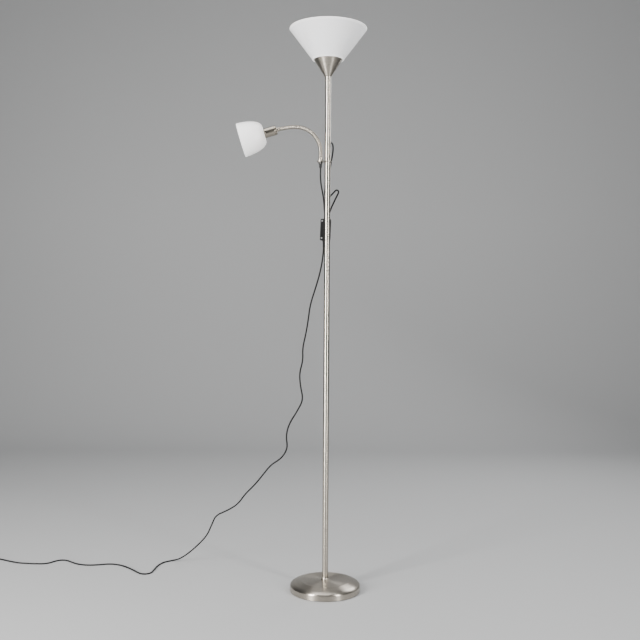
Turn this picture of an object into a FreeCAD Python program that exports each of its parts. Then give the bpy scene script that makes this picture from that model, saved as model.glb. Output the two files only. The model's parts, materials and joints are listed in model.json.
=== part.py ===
import FreeCAD, Part
import math
import os

# Torchiere floor lamp with a reading light on a flexible neck.
# Millimetres, +Z up. The origin is the centre of the felt pad's underside, on the floor.
# The reading arm points towards -X, and the switch hangs behind the pole, on the +Y side.

Vector = FreeCAD.Vector
UP = Vector(0, 0, 1)
SIDE = Vector(0, 1, 0)

# ------------------------------------------------------------------ fits between pieces
slip_fit = 0.05            # radial, one round piece slid over another and fixed
turn_fit = 0.1             # radial, a hole that turns on its stud
free_gap = 0.3             # between round faces that are near each other and don't touch
bolt_clearance = 0.5       # radial, a bolt through a drilled hole

# ------------------------------------------------------------------ base
base_radius = 112.5
base_skirt_height = 19.0   # upright part of the rim, measured from the floor
base_height = 35.0
base_shoulder_width = 12.5     # from the skirt in to the shoulder
base_shoulder_drop = 7.0       # from the base's top down to the shoulder
base_slope_width = 34.5        # from the skirt in to the nearly flat deck
base_deck_drop = 1.2
base_sheet = 1.2
rim_above_floor = 1.6
pad_inset = 6.5                # from the skirt to the pad's edge
pad_thickness = 2.5
weight_inset = 7.3             # from the skirt's inner face to the weight
weight_thickness = 14.0
weight_hub_radius = 24.0
recess_radius = 15.0
recess_depth = 10.0
thread_radius = 5.0        # M10 thread in the base, in the pole joints and under the lamp cup
bolt_head_flats = 17.0
bolt_head_height = 6.4
bolt_flange_radius = 11.0
bolt_flange_height = 1.6
bolt_grip = 15.0           # length of thread screwed into the pole's foot
foot_collar_radius = 12.8
foot_collar_height = 8.0
foot_collar_flange = 3.0

# ------------------------------------------------------------------ pole
pole_radius = 9.5
pole_wall = 1.0
pole_section_length = 446.0
lower_section_count = 3
top_section_length = 271.0
bush_length = 18.0
stud_length = 14.0
lead_exit_height = 61.5    # above the arm plate's top face
lead_exit_angle = 33.0     # degrees from +X towards +Y
grommet_flange = 1.4
grommet_flange_radius = 4.6
grommet_hole_radius = 3.6

# ------------------------------------------------------------------ lamp cup, holder and shade
cup_foot_radius = 11.0
cup_rim_radius = 46.5
cup_height = 55.0
cup_wall = 1.3
cup_floor = 3.0
nipple_bore = 3.6
nipple_drop = 12.0         # length of the nipple inside the pole
lock_nut_flats = 17.0
lock_nut_height = 4.0
holder_skirt = 8.0             # of the holder's body, between its flange and its cap
holder_cap_radius = 19.0
holder_boss_lift = 5.0         # from the lock nut to the cap's boss
holder_cap_wall = 1.6
holder_boss_radius = 8.0
holder_boss_height = 6.0
holder_radius = 20.0
holder_flange_radius = 23.0
holder_flange_thickness = 3.0
holder_sleeve_wall = 4.8
holder_sleeve_height = 20.0
shell_gap = 1.0                # radial, from a bulb's cap to the screw shell
holder_floor = 3.0
shell_thickness = 0.4
contact_radius = 4.0
contact_thickness = 1.2
shade_rim_radius = 125.0
shade_lip_wall = 2.6
shade_height = 98.0        # above the cup's rim
shade_lip = 2.0            # lip below the shade's floor, outside the cup's rim
shade_wall = 2.4
ring_width = 9.0
ring_height = 7.0
ring_wall = 2.2
bulb_cap_radius = 13.2
bulb_cap_height = 24.0
bulb_radius = 30.0
bulb_height = 104.0
bulb_bands = 12

# ------------------------------------------------------------------ arm plate and neck
arm_plate_thickness = 3.0
arm_plate_width = 27.0
arm_plate_pole_side = 14.0     # from the pole's axis to the plate's near end
arm_plate_overhang = 11.5      # from the neck's axis to the plate's far end
neck_offset = 22.5             # from the pole's axis to the neck's axis
neck_thread_radius = 4.0
neck_thread_bore = 2.7
neck_thread_drop = 12.0        # length of thread below the plate
neck_nut_flats = 13.0
neck_nut_height = 6.4
bushing_radius = 4.8
bushing_height = 12.6
bushing_tail_radius = 3.6
ferrule_step = 0.6             # how far the end pieces stand proud of the neck
ferrule_length = 10.0
neck_radius = 6.4
neck_groove = 0.75             # depth of the groove between two turns of the neck's wire
nose_wall = 1.3                # at the nose's tip
neck_rise = 29.0               # straight part, from the plate's top
neck_bend_radius = 80.0
neck_bend_angle = 92.0
neck_tail_radius = 230.0
neck_tail_angle = 14.7
link_count = 7
turns_per_link = 5
crest_from = 0.3               # where a turn's crest starts, as a share of the pitch
crest_to = 0.7
link_gap = 1.6                 # between the wire of two neighbouring links
ferrule_gap = 0.5              # between the last link and the end piece
link_wall = 0.7                # left between a link's groove and its seat
nose_taper = 0.4
nose_length = 2.2              # past the hinge point, inside the next link
nose_clearance = 0.25
seat_depth = 3.8               # of the hollow that takes the nose

# ------------------------------------------------------------------ reading head
head_cup_radius = 15.5
head_cup_length = 42.0
head_cup_wall = 1.0
head_cup_end = 2.0
head_cup_corner = 5.0
tip_nut_height = 3.5
head_holder_cap_length = 12.0
head_holder_gap = 1.5          # from the cup's inner face to the holder
head_holder_flange = 2.5
head_sleeve_height = 15.0
head_shade_radius = 54.5
head_shade_back_radius = 24.0
head_shade_depth = 78.0
head_shade_wall = 2.0
head_shade_bands = 9
head_ring_width = 5.0
head_ring_height = 6.0
head_bulb_cap_radius = 7.0
head_bulb_cap_height = 20.0
head_bulb_sink = 1.0           # from the sleeve's end to the bulb's cap
head_bulb_radius = 22.5
head_bulb_height = 78.0
head_bulb_bands = 10

# ------------------------------------------------------------------ switch
switch_width = 34.6
switch_height = 69.0
switch_depth = 22.0
switch_wall = 1.6
switch_corner = 4.0
switch_centre_x = -5.1
switch_centre_z = 1157.5
switch_behind_pole = 0.8       # from the pole's back to the switch
switch_tilt = 2.0              # degrees, the top leans towards +X
screw_inset_x = 5.7            # from the housing's side to a screw
screw_inset_z = 6.9
screw_radius = 1.4
screw_head_radius = 2.7
screw_head_height = 1.4
screw_length = 14.0
screw_boss_radius = 3.4
rocker_x = 7.0
rocker_width = 10.8
rocker_length = 25.2
rocker_crown = 3.2             # height of the rocker's ends over its pivot
rocker_valley = 2.0
rocker_skirt = 1.5
rocker_keel = 4.5
rocker_throw = 6.0             # degrees each side of level
rocker_pin_radius = 1.15
rocker_pin_length = 0.9
rocker_pivot_depth = 2.4       # below the face of the switch
cheek_thickness = 1.3
cheek_height = 6.0
cheek_depth = 4.2
top_entry_reading = -4.0       # where the leads enter, across the switch
top_entry_uplight = 7.0
bottom_entry = -4.0
entry_depth = 2.0              # how far a lead reaches into the housing
terminal_width = 5.0
terminal_height = 7.0
terminal_thickness = 5.0
terminal_spacing = 8.0
terminal_gap = 1.2             # from a screw's post to the terminals
relief_length = 22.0
relief_radius = 4.4
relief_tip_radius = 3.1

# ------------------------------------------------------------------ cords
cord_radius = 2.5
coil_centre = Vector(-1216, 289, 0)
coil_turns_below = 1.25
coil_turns_above = 1.5
coil_climb_turns = 0.5         # the stretch that climbs from the lower to the upper layer
coil_start_radius = 30.0
coil_step = 6.4                # from one turn to the next
coil_rise = 5.7                # from one layer to the next
coil_lift = 1.0                # the ties pass under the turns
tie_places = (0.375, 0.875)     # in turns from the coil's start
tie_width = 6.0
tie_thickness = 0.8
plug_length = 36.0
plug_width = 27.0
plug_back_width = 15.0
plug_thickness = 14.0
plug_taper = 12.0              # length over which the plug's back narrows
plug_relief_length = 22.0
plug_tail = 24.0               # cord between the coil and the plug
pin_radius = 2.0
pin_length = 19.0
pin_spacing = 19.0

# ------------------------------------------------------------------ radii that follow
base_shoulder_radius = base_radius - base_shoulder_width
base_deck_radius = base_radius - base_slope_width
pad_radius = base_radius - pad_inset
weight_radius = base_radius - base_sheet - weight_inset
holder_socket_radius = bulb_cap_radius + shell_gap + shell_thickness
holder_sleeve_radius = holder_socket_radius + holder_sleeve_wall
shade_foot_radius = cup_rim_radius + free_gap + shade_lip_wall
ferrule_radius = neck_radius + ferrule_step
nose_radius = neck_radius - neck_groove - link_wall - nose_clearance
nose_tip_radius = nose_radius - nose_taper
neck_bore = nose_tip_radius - nose_wall
arm_plate_neck_side = neck_offset + arm_plate_overhang
head_holder_radius = head_cup_radius - head_cup_wall - head_holder_gap
head_socket_radius = head_bulb_cap_radius + shell_gap + shell_thickness
head_sleeve_radius = head_socket_radius + holder_sleeve_wall
screw_x = switch_width / 2 - screw_inset_x
screw_z = switch_height / 2 - screw_inset_z
terminal_row = screw_z - screw_boss_radius - terminal_height / 2 - terminal_gap

# ------------------------------------------------------------------ heights that follow
base_shoulder_height = base_height - base_shoulder_drop
base_deck_height = base_height - base_deck_drop
pole_bore_radius = pole_radius - pole_wall
weight_bottom = pad_thickness
weight_top = weight_bottom + weight_thickness
cover_under = base_height - base_sheet
recess_top = weight_bottom + recess_depth
plate_bottom = base_height + lower_section_count * pole_section_length
plate_top = plate_bottom + arm_plate_thickness
pole_top = plate_top + top_section_length
cup_inside = pole_top + cup_floor
cup_rim = pole_top + cup_height
lock_nut_top = cup_inside + lock_nut_height
holder_flange_bottom = cup_rim - holder_flange_thickness
holder_cap_top = holder_flange_bottom - holder_skirt
holder_cap_bottom = lock_nut_top + holder_boss_lift + holder_boss_height
holder_seat = holder_cap_top + holder_floor
shade_floor_top = cup_rim + shade_wall
shade_top = cup_rim + shade_height
bulb_bottom = holder_seat + contact_thickness
lead_exit = plate_top + lead_exit_height
switch_centre_y = pole_radius + switch_behind_pole + switch_depth / 2


# ------------------------------------------------------------------ shape helpers
def polar(radius, degrees, height):
    angle = math.radians(degrees)
    return Vector(radius * math.cos(angle), radius * math.sin(angle), height)


def outline(points):
    """A closed wire in the XZ plane. A point is (r, z), or ((r, z), (r, z)) for an arc."""
    edges = []
    first = Vector(points[0][0], 0, points[0][1])
    here = first
    for point in points[1:]:
        if isinstance(point[0], tuple):
            middle = Vector(point[0][0], 0, point[0][1])
            end = Vector(point[1][0], 0, point[1][1])
            edges.append(Part.Arc(here, middle, end).toShape())
        else:
            end = Vector(point[0], 0, point[1])
            edges.append(Part.makeLine(here, end))
        here = end
    edges.append(Part.makeLine(here, first))
    return Part.Wire(edges)


def turned(points):
    """A solid turned about Z from half of its section."""
    face = Part.Face(outline(points))
    return face.revolve(Vector(0, 0, 0), UP, 360)


def tube(outer, inner, bottom, top):
    return turned([(inner, bottom), (outer, bottom), (outer, top), (inner, top)])


def rod(radius, bottom, top):
    return Part.makeCylinder(radius, top - bottom, Vector(0, 0, bottom), UP)


def hexagon(flats, bottom, top):
    corner = flats / 2 / math.cos(math.radians(30))
    corners = [polar(corner, 60 * side + 30, bottom) for side in range(7)]
    return Part.Face(Part.makePolygon(corners)).extrude(Vector(0, 0, top - bottom))


def hex_nut(flats, bore, bottom, top):
    return hexagon(flats, bottom, top).cut(rod(bore, bottom - 1, top + 1))


def bead(width, height, corner, depth):
    """A block with round corners in XZ, centred, running from y = 0 towards +Y."""
    half_width = width / 2 - corner
    half_height = height / 2 - corner
    block = Part.makeBox(width, depth, height, Vector(-width / 2, 0, -height / 2))
    upright = [edge for edge in block.Edges
               if abs(edge.tangentAt(edge.FirstParameter).y) > 0.9]
    assert half_width > 0 and half_height > 0
    return block.makeFillet(corner, upright)


def dome(radius, bottom, height, bands, start=0.0):
    """Section points of an elliptic dome, from its widest ring up to its tip."""
    points = []
    for band in range(bands):
        angle = math.radians(start + (90.0 - start) * band / bands)
        points.append((radius * math.cos(angle), bottom + height * math.sin(angle)))
    points.append((0, bottom + height))
    return points


def placed(shape, origin, direction):
    """The shape, built along Z from the origin, moved and turned to a new axis."""
    copy = shape.copy()
    copy.Placement = FreeCAD.Placement(origin, FreeCAD.Rotation(UP, direction)).multiply(copy.Placement)
    return copy


# ------------------------------------------------------------------ base
def make_base_cover():
    skirt = base_skirt_height
    hole = thread_radius + bolt_clearance
    outside = [
        (base_radius - base_sheet, rim_above_floor),
        (base_radius, rim_above_floor),
        (base_radius, skirt),
        ((base_radius - 3.6, skirt + 5.8), (base_shoulder_radius, base_shoulder_height)),
        ((base_shoulder_radius - 10.8, base_shoulder_height + 4.1), (base_deck_radius, base_deck_height)),
        (foot_collar_radius, base_height),
        (hole, base_height),
    ]
    inside = [
        (hole, cover_under),
        (foot_collar_radius, cover_under),
        (base_deck_radius, base_deck_height - base_sheet),
        (base_shoulder_radius - 1.0, base_shoulder_height - base_sheet),
        (base_radius - base_sheet, skirt),
    ]
    return turned(outside + inside)


def make_base_weight():
    hole = thread_radius + bolt_clearance
    return turned([
        (recess_radius, weight_bottom),
        (weight_radius - 1, weight_bottom),
        (weight_radius, weight_bottom + 1),
        (weight_radius, weight_top - 3),
        (weight_radius - 3, weight_top),
        (weight_hub_radius + 6, weight_top),
        (weight_hub_radius, weight_top + 6),
        (weight_hub_radius - 2, cover_under - 1),
        (foot_collar_radius, cover_under),
        (hole, cover_under),
        (hole, recess_top),
        (recess_radius, recess_top),
    ])


def make_base_bolt():
    flange = rod(bolt_flange_radius, recess_top - bolt_flange_height, recess_top)
    head_top = recess_top - bolt_flange_height
    head = hexagon(bolt_head_flats, head_top - bolt_head_height, head_top)
    thread = rod(thread_radius, recess_top, base_height + bolt_grip)
    return flange.fuse([head, thread]).removeSplitter()


def make_foot_collar():
    bore = pole_radius + slip_fit
    top = base_height + foot_collar_height
    flange_top = base_height + foot_collar_flange
    return turned([
        (bore, base_height),
        (foot_collar_radius, base_height),
        (foot_collar_radius, flange_top),
        ((foot_collar_radius - 1.8, flange_top + 1.2), (bore + 1.3, top - 1)),
        (bore + 0.8, top),
        (bore, top),
    ])


# ------------------------------------------------------------------ pole
def pole_levels():
    """Where each pole section starts and ends, the plate lying below the last one."""
    levels = []
    for section in range(lower_section_count):
        start = base_height + section * pole_section_length
        levels.append((start, start + pole_section_length))
    levels.append((plate_top, pole_top))
    return levels


def make_pole_sections():
    sections = [tube(pole_radius, pole_bore_radius, start, end) for start, end in pole_levels()]
    outward = polar(1, lead_exit_angle, 0)
    hole = Part.makeCylinder(grommet_hole_radius, pole_radius * 2, Vector(0, 0, lead_exit), outward)
    sections[-1] = sections[-1].cut(hole)
    return sections


def make_pole_bushes():
    """Five equal threaded bushes: one in the foot and one in the top of each section."""
    levels = pole_levels()
    bottoms = [levels[0][0]] + [end - bush_length for start, end in levels]
    outer = pole_bore_radius - slip_fit
    bore = thread_radius + slip_fit
    return Part.makeCompound([tube(outer, bore, low, low + bush_length) for low in bottoms])


def make_pole_studs():
    """The plug and thread at the foot of each section that stands on another one."""
    studs = []
    for start, end in pole_levels()[1:]:
        plug = rod(pole_bore_radius - slip_fit, start, start + bush_length)
        studs.append(plug.fuse(rod(thread_radius, start - stud_length, start)).removeSplitter())
    return Part.makeCompound(studs)


def make_grommet():
    outward = polar(1, lead_exit_angle, 0)
    neck = rod(grommet_hole_radius - slip_fit, pole_bore_radius - 1.2, pole_radius + 0.2)
    flange = turned([
        (0, pole_radius),
        (grommet_flange_radius, pole_radius),
        (grommet_flange_radius, pole_radius + grommet_flange * 0.5),
        (grommet_flange_radius - 0.9, pole_radius + grommet_flange),
        (0, pole_radius + grommet_flange),
    ])
    bore = rod(cord_radius + slip_fit, 0, pole_radius * 2)
    piece = placed(neck.fuse(flange).cut(bore), Vector(0, 0, lead_exit), outward)
    return piece.cut(rod(pole_radius + slip_fit, lead_exit - 20, lead_exit + 20).cut(
        placed(rod(grommet_hole_radius - slip_fit, 0, pole_radius * 2), Vector(0, 0, lead_exit), outward)))


# ------------------------------------------------------------------ uplighter
def make_shade_cup():
    bore = thread_radius + slip_fit
    rise = cup_rim - pole_top
    lean = (cup_rim_radius - cup_foot_radius) / rise
    inner_foot = cup_foot_radius + lean * cup_floor - cup_wall
    return turned([
        (bore, pole_top),
        (cup_foot_radius, pole_top),
        (cup_rim_radius, cup_rim),
        (cup_rim_radius - cup_wall, cup_rim),
        (inner_foot, cup_inside),
        (bore, cup_inside),
    ])


def make_main_holder_cap():
    boss_bottom = holder_cap_bottom - holder_boss_height
    bore = thread_radius + slip_fit
    inner = holder_cap_radius - holder_cap_wall
    return turned([
        (bore, boss_bottom),
        (holder_boss_radius, boss_bottom),
        (holder_boss_radius, holder_cap_bottom),
        (holder_cap_radius - 4, holder_cap_bottom + 2),
        (holder_cap_radius, holder_cap_bottom + 8),
        (holder_cap_radius, holder_cap_top),
        (inner, holder_cap_top),
        (inner, holder_cap_bottom + 9),
        (inner - 4, holder_cap_bottom + 4),
        (bore, holder_cap_bottom + 4),
    ])


def make_main_holder_body():
    top = cup_rim + holder_sleeve_height
    return turned([
        (0, holder_cap_top),
        (holder_radius, holder_cap_top),
        (holder_radius, holder_flange_bottom),
        (holder_flange_radius, holder_flange_bottom),
        (holder_flange_radius, cup_rim),
        (holder_sleeve_radius, cup_rim),
        (holder_sleeve_radius, top),
        (holder_socket_radius, top),
        (holder_socket_radius, holder_seat),
        (0, holder_seat),
    ])


def make_screw_shell(outer, bottom, top):
    return tube(outer, outer - shell_thickness, bottom, top)


def make_main_shade():
    slope = (shade_rim_radius - shade_foot_radius) / (shade_height + shade_lip)
    lip_bottom = cup_rim - shade_lip
    across = shade_wall * math.sqrt(1 + slope * slope)
    inner_floor = shade_foot_radius + slope * (shade_floor_top - lip_bottom) - across
    hole = holder_sleeve_radius + free_gap
    lip_inner = cup_rim_radius + free_gap
    return turned([
        (hole, cup_rim),
        (lip_inner, cup_rim),
        (lip_inner, lip_bottom),
        (shade_foot_radius, lip_bottom),
        (shade_rim_radius - 0.6 * slope, shade_top - 0.6),
        (shade_rim_radius - across * 0.3, shade_top),
        (shade_rim_radius - across * 0.8, shade_top),
        (shade_rim_radius - across - 0.8 * slope, shade_top - 0.8),
        (inner_floor, shade_floor_top),
        (hole, shade_floor_top),
    ])


def make_shade_ring(sleeve, width, bottom, height):
    """A threaded ring with a wide foot that clamps a shade against its holder."""
    bore = sleeve + slip_fit
    return turned([
        (bore, bottom),
        (bore + width, bottom),
        (bore + width, bottom + ring_wall),
        (bore + ring_wall, bottom + ring_wall + 1),
        (bore + ring_wall, bottom + height),
        (bore, bottom + height),
    ])


def make_bulb_cap(radius, bottom, height):
    return turned([
        (0, bottom),
        (radius * 0.35, bottom),
        (radius * 0.85, bottom + height * 0.2),
        (radius, bottom + height * 0.28),
        (radius, bottom + height),
        (0, bottom + height),
    ])


def make_bulb_globe(radius, cap_radius, bottom, top, bands):
    """The pear shape of a bulb: a neck that swells into a round end."""
    centre = top - radius
    neck = [
        (0, bottom),
        (cap_radius * 0.98, bottom),
        (cap_radius * 1.06, bottom + (centre - bottom) * 0.18),
        (radius * 0.80, bottom + (centre - bottom) * 0.62),
        (radius * 0.95, bottom + (centre - bottom) * 0.86),
    ]
    return turned(neck + dome(radius, centre, radius, bands))


# ------------------------------------------------------------------ arm plate and neck
def make_arm_plate():
    end_radius = arm_plate_width / 2
    near = arm_plate_pole_side - end_radius
    far = -(arm_plate_neck_side - end_radius)
    body = Part.makeBox(near - far, arm_plate_width, arm_plate_thickness,
                        Vector(far, -end_radius, plate_bottom))
    near_end = Part.makeCylinder(end_radius, arm_plate_thickness, Vector(near, 0, plate_bottom))
    far_end = Part.makeCylinder(end_radius, arm_plate_thickness, Vector(far, 0, plate_bottom))
    plate = body.fuse([near_end, far_end]).removeSplitter()
    pole_hole = rod(thread_radius + turn_fit, plate_bottom - 1, plate_top + 1)
    neck_hole = rod(neck_thread_radius + slip_fit, plate_bottom - 1, plate_top + 1)
    neck_hole.translate(Vector(-neck_offset, 0, 0))
    return plate.cut(pole_hole.fuse(neck_hole))


def neck_station(distance):
    """The point of the neck's axis at a distance from the plate, and its heading from +Z."""
    first_length = neck_bend_radius * math.radians(neck_bend_angle)
    start = Vector(-neck_offset, 0, plate_top)
    if distance <= neck_rise:
        return start + UP * distance, 0.0
    x = start.x
    z = start.z + neck_rise
    along = min(distance - neck_rise, first_length)
    turn = along / neck_bend_radius
    x -= neck_bend_radius * (1 - math.cos(turn))
    z += neck_bend_radius * math.sin(turn)
    rest = distance - neck_rise - first_length
    if rest > 0:
        end_turn = turn + rest / neck_tail_radius
        x -= neck_tail_radius * (math.cos(turn) - math.cos(end_turn))
        z += neck_tail_radius * (math.sin(end_turn) - math.sin(turn))
        turn = end_turn
    return Vector(x, 0, z), turn


def neck_heading(turn):
    return Vector(-math.sin(turn), 0, math.cos(turn))


neck_length = (neck_rise + neck_bend_radius * math.radians(neck_bend_angle)
               + neck_tail_radius * math.radians(neck_tail_angle))
link_length = (neck_length - 2 * ferrule_length) / link_count
head_origin, head_turn = neck_station(neck_length)
head_direction = neck_heading(head_turn)


def neck_ring(distance, radius):
    """A circle across the neck, with its X axis always along +Y."""
    centre, turn = neck_station(distance)
    heading = neck_heading(turn)
    across = heading.cross(SIDE)
    rotation = FreeCAD.Rotation(SIDE, across, heading, "ZXY")
    circle = Part.makeCircle(radius)
    circle.Placement = FreeCAD.Placement(centre, rotation)
    return Part.Wire(circle)


def neck_loft(rings):
    """A ruled loft through circles across the neck."""
    return Part.makeLoft([neck_ring(distance, radius) for distance, radius in rings], True, True)


def make_neck_link(index):
    """One link: turns of round wire outside, a nose at its far end, a seat at its near end."""
    near_hinge = ferrule_length + index * link_length
    far_hinge = near_hinge + link_length
    first = near_hinge + (link_gap / 2 if index > 0 else 0)
    last = far_hinge - (link_gap / 2 if index < link_count - 1 else ferrule_gap)
    pitch = (last - first) / turns_per_link
    groove_radius = neck_radius - neck_groove
    rings = [(first, groove_radius)]
    for turn in range(turns_per_link):
        start = first + turn * pitch
        rings.append((start + crest_from * pitch, neck_radius))
        rings.append((start + crest_to * pitch, neck_radius))
        rings.append((start + pitch, groove_radius))
    nose = [
        (last + 0.15, nose_radius),
        (far_hinge + 0.2, nose_radius),
        (far_hinge + nose_length, nose_tip_radius),
    ]
    body = neck_loft(rings + nose)
    seat = nose_radius + nose_clearance
    hollow = neck_loft([
        (first - 1, seat),
        (near_hinge + seat_depth, seat),
        (near_hinge + seat_depth + 0.6, neck_bore),
        (far_hinge + nose_length + 1, neck_bore),
    ])
    return body.cut(hollow)


def make_base_ferrule():
    """The threaded end of the neck that stands on the plate and passes through it."""
    bottom = plate_bottom - neck_thread_drop
    top = plate_top + ferrule_length
    piece = turned([
        (neck_thread_bore, bottom),
        (neck_thread_radius, bottom),
        (neck_thread_radius, plate_top),
        (ferrule_radius, plate_top),
        (ferrule_radius, top - 0.6),
        (ferrule_radius - 0.6, top),
        (nose_radius, top),
        (nose_tip_radius, top + nose_length),
        (neck_bore, top + nose_length),
        (neck_bore, plate_top + 2),
        (neck_thread_bore, plate_top + 1.6),
    ])
    piece.translate(Vector(-neck_offset, 0, 0))
    return piece


def make_lead_bushing():
    """The black bush on the end of the thread, where the reading lead comes out."""
    top = plate_bottom - neck_nut_height
    thread_end = plate_bottom - neck_thread_drop
    bottom = top - bushing_height
    piece = turned([
        (cord_radius + slip_fit, bottom),
        (bushing_tail_radius, bottom),
        (bushing_radius, bottom + 4),
        (bushing_radius, top),
        (neck_thread_radius + slip_fit, top),
        (neck_thread_radius + slip_fit, thread_end - slip_fit),
        (cord_radius + slip_fit, thread_end - slip_fit),
    ])
    piece.translate(Vector(-neck_offset, 0, 0))
    return piece


def make_neck_nut():
    piece = hex_nut(neck_nut_flats, neck_thread_radius + slip_fit, plate_bottom - neck_nut_height, plate_bottom)
    piece.translate(Vector(-neck_offset, 0, 0))
    return piece


# ------------------------------------------------------------------ reading head, along its own axis
head_inside = head_cup_end
tip_nut_end = head_inside + tip_nut_height
tip_thread_end = tip_nut_end + 6.0
head_cap_start = tip_nut_end + 0.5
head_cap_end = head_cap_start + head_holder_cap_length
head_sleeve_end = head_cup_length + head_sleeve_height
head_bulb_start = head_sleeve_end - head_bulb_sink - head_bulb_cap_height
head_seat = head_bulb_start - contact_thickness


def in_head(shape):
    return placed(shape, head_origin, head_direction)


def make_tip_ferrule():
    """The end of the neck: a shoulder outside the cup and a thread through its end wall."""
    seat = nose_radius + nose_clearance
    return in_head(turned([
        (seat, -ferrule_length),
        (ferrule_radius - 0.6, -ferrule_length),
        (ferrule_radius, -ferrule_length + 0.6),
        (ferrule_radius, 0),
        (neck_thread_radius, 0),
        (neck_thread_radius, tip_thread_end),
        (neck_thread_bore, tip_thread_end),
        (neck_thread_bore, -ferrule_length + seat_depth + 0.6),
        (seat, -ferrule_length + seat_depth),
    ]))


def make_tip_nut():
    return in_head(hex_nut(neck_nut_flats, neck_thread_radius + slip_fit, head_inside, tip_nut_end))


def make_reading_cup():
    bore = neck_thread_radius + slip_fit
    inner = head_cup_radius - head_cup_wall
    corner = head_cup_corner
    diagonal = corner * (1 - math.sqrt(0.5))
    return in_head(turned([
        (bore, 0),
        (head_cup_radius - corner, 0),
        ((head_cup_radius - diagonal, diagonal), (head_cup_radius, corner)),
        (head_cup_radius, head_cup_length),
        (inner, head_cup_length),
        (inner, corner),
        (inner - corner + 2, head_inside),
        (bore, head_inside),
    ]))


def make_reading_holder_cap():
    bore = neck_thread_radius + slip_fit
    return in_head(turned([
        (bore, head_cap_start),
        (8.0, head_cap_start),
        (head_holder_radius - 0.6, head_cap_start + 3),
        (head_holder_radius - 0.6, head_cap_end),
        (head_holder_radius - 2.0, head_cap_end),
        (head_holder_radius - 2.0, head_cap_start + 5),
        (bore, head_cap_start + 4),
    ]))


def make_reading_holder_body():
    flange_start = head_cup_length - head_holder_flange
    flange_radius = head_cup_radius - head_cup_wall - slip_fit
    return in_head(turned([
        (0, head_cap_end),
        (head_holder_radius, head_cap_end),
        (head_holder_radius, flange_start),
        (flange_radius, flange_start),
        (flange_radius, head_cup_length),
        (head_sleeve_radius, head_cup_length),
        (head_sleeve_radius, head_sleeve_end),
        (head_socket_radius, head_sleeve_end),
        (head_socket_radius, head_seat),
        (0, head_seat),
    ]))


def shade_wall_points(depth_offset, radius_offset):
    """The bell of the reading shade, a quarter ellipse, from its back to its rim."""
    start = head_cup_length + depth_offset
    depth = head_shade_depth - depth_offset
    swell = head_shade_radius - head_shade_back_radius - radius_offset
    points = []
    for band in range(head_shade_bands + 1):
        angle = math.radians(90.0 * band / head_shade_bands)
        radius = head_shade_back_radius + swell * math.sin(angle)
        points.append((radius, start + depth * (1 - math.cos(angle))))
    return points


def make_reading_shade():
    hole = head_sleeve_radius + free_gap
    outside = shade_wall_points(0, 0)
    inside = shade_wall_points(head_shade_wall, head_shade_wall)
    section = [(hole, head_cup_length)] + outside + inside[::-1]
    section.append((hole, head_cup_length + head_shade_wall))
    return in_head(turned(section))


# ------------------------------------------------------------------ switch, built upright about its centre
def in_switch(shape):
    lean = FreeCAD.Rotation(SIDE, switch_tilt)
    centre = Vector(switch_centre_x, switch_centre_y, switch_centre_z)
    copy = shape.copy()
    copy.Placement = FreeCAD.Placement(centre, lean).multiply(copy.Placement)
    return copy


def switch_point(x, y, z):
    lean = FreeCAD.Rotation(SIDE, switch_tilt)
    return lean.multVec(Vector(x, y, z)) + Vector(switch_centre_x, switch_centre_y, switch_centre_z)


def switch_half_shell():
    """Half of the housing, open at y = 0, with its closed face towards +Y."""
    outer = bead(switch_width, switch_height, switch_corner, switch_depth / 2)
    rim = [edge for edge in outer.Edges if edge.BoundBox.YMin > switch_depth / 2 - 0.01]
    outer = outer.makeFillet(1.2, rim)
    inner = bead(switch_width - 2 * switch_wall, switch_height - 2 * switch_wall,
                 switch_corner - switch_wall, switch_depth / 2 - switch_wall)
    return outer.cut(inner)


def screw_places():
    return [Vector(x, 0, z) for x in (-screw_x, screw_x) for z in (-screw_z, screw_z)]


def along_y(radius, x, z, start, end):
    return Part.makeCylinder(radius, end - start, Vector(x, start, z), SIDE)


def lead_holes():
    half = switch_height / 2
    holes = []
    for x, z in ((top_entry_reading, half), (top_entry_uplight, half), (bottom_entry, -half)):
        holes.append(Part.makeCylinder(cord_radius + slip_fit, 8, Vector(x, 0, z - 4), UP))
    return holes


def switch_bosses(bore, face):
    """Four posts from the parting plane to the closed face, with their screw holes."""
    posts = []
    for place in screw_places():
        post = along_y(screw_boss_radius, place.x, place.z, 0, face)
        posts.append(post.cut(along_y(bore, place.x, place.z, -1, face + 1)))
    return posts


def make_switch_front():
    face = switch_depth / 2
    inside = face - switch_wall
    shell = switch_half_shell()
    shell = shell.fuse(switch_bosses(screw_radius + slip_fit, inside)).removeSplitter()
    window_width = rocker_width + 1.0
    window_length = rocker_length + 1.2
    for x in (-rocker_x, rocker_x):
        window = Part.makeBox(window_width, 6, window_length,
                              Vector(x - window_width / 2, inside - 3, -window_length / 2))
        shell = shell.cut(window)
    cheeks = []
    inner_edge = rocker_x - window_width / 2
    outer_edge = rocker_x + window_width / 2
    for low, high in ((-inner_edge, inner_edge), (outer_edge, outer_edge + cheek_thickness),
                      (-outer_edge - cheek_thickness, -outer_edge)):
        cheeks.append(Part.makeBox(high - low, cheek_depth, cheek_height,
                                   Vector(low, inside - cheek_depth, -cheek_height / 2)))
    shell = shell.fuse(cheeks).removeSplitter()
    pivot = face - rocker_pivot_depth
    reach = outer_edge + cheek_thickness
    bore = Part.makeCylinder(rocker_pin_radius + slip_fit, 2 * reach + 2, Vector(-reach - 1, pivot, 0),
                             Vector(1, 0, 0))
    return in_switch(shell.cut([bore] + lead_holes()))


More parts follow.
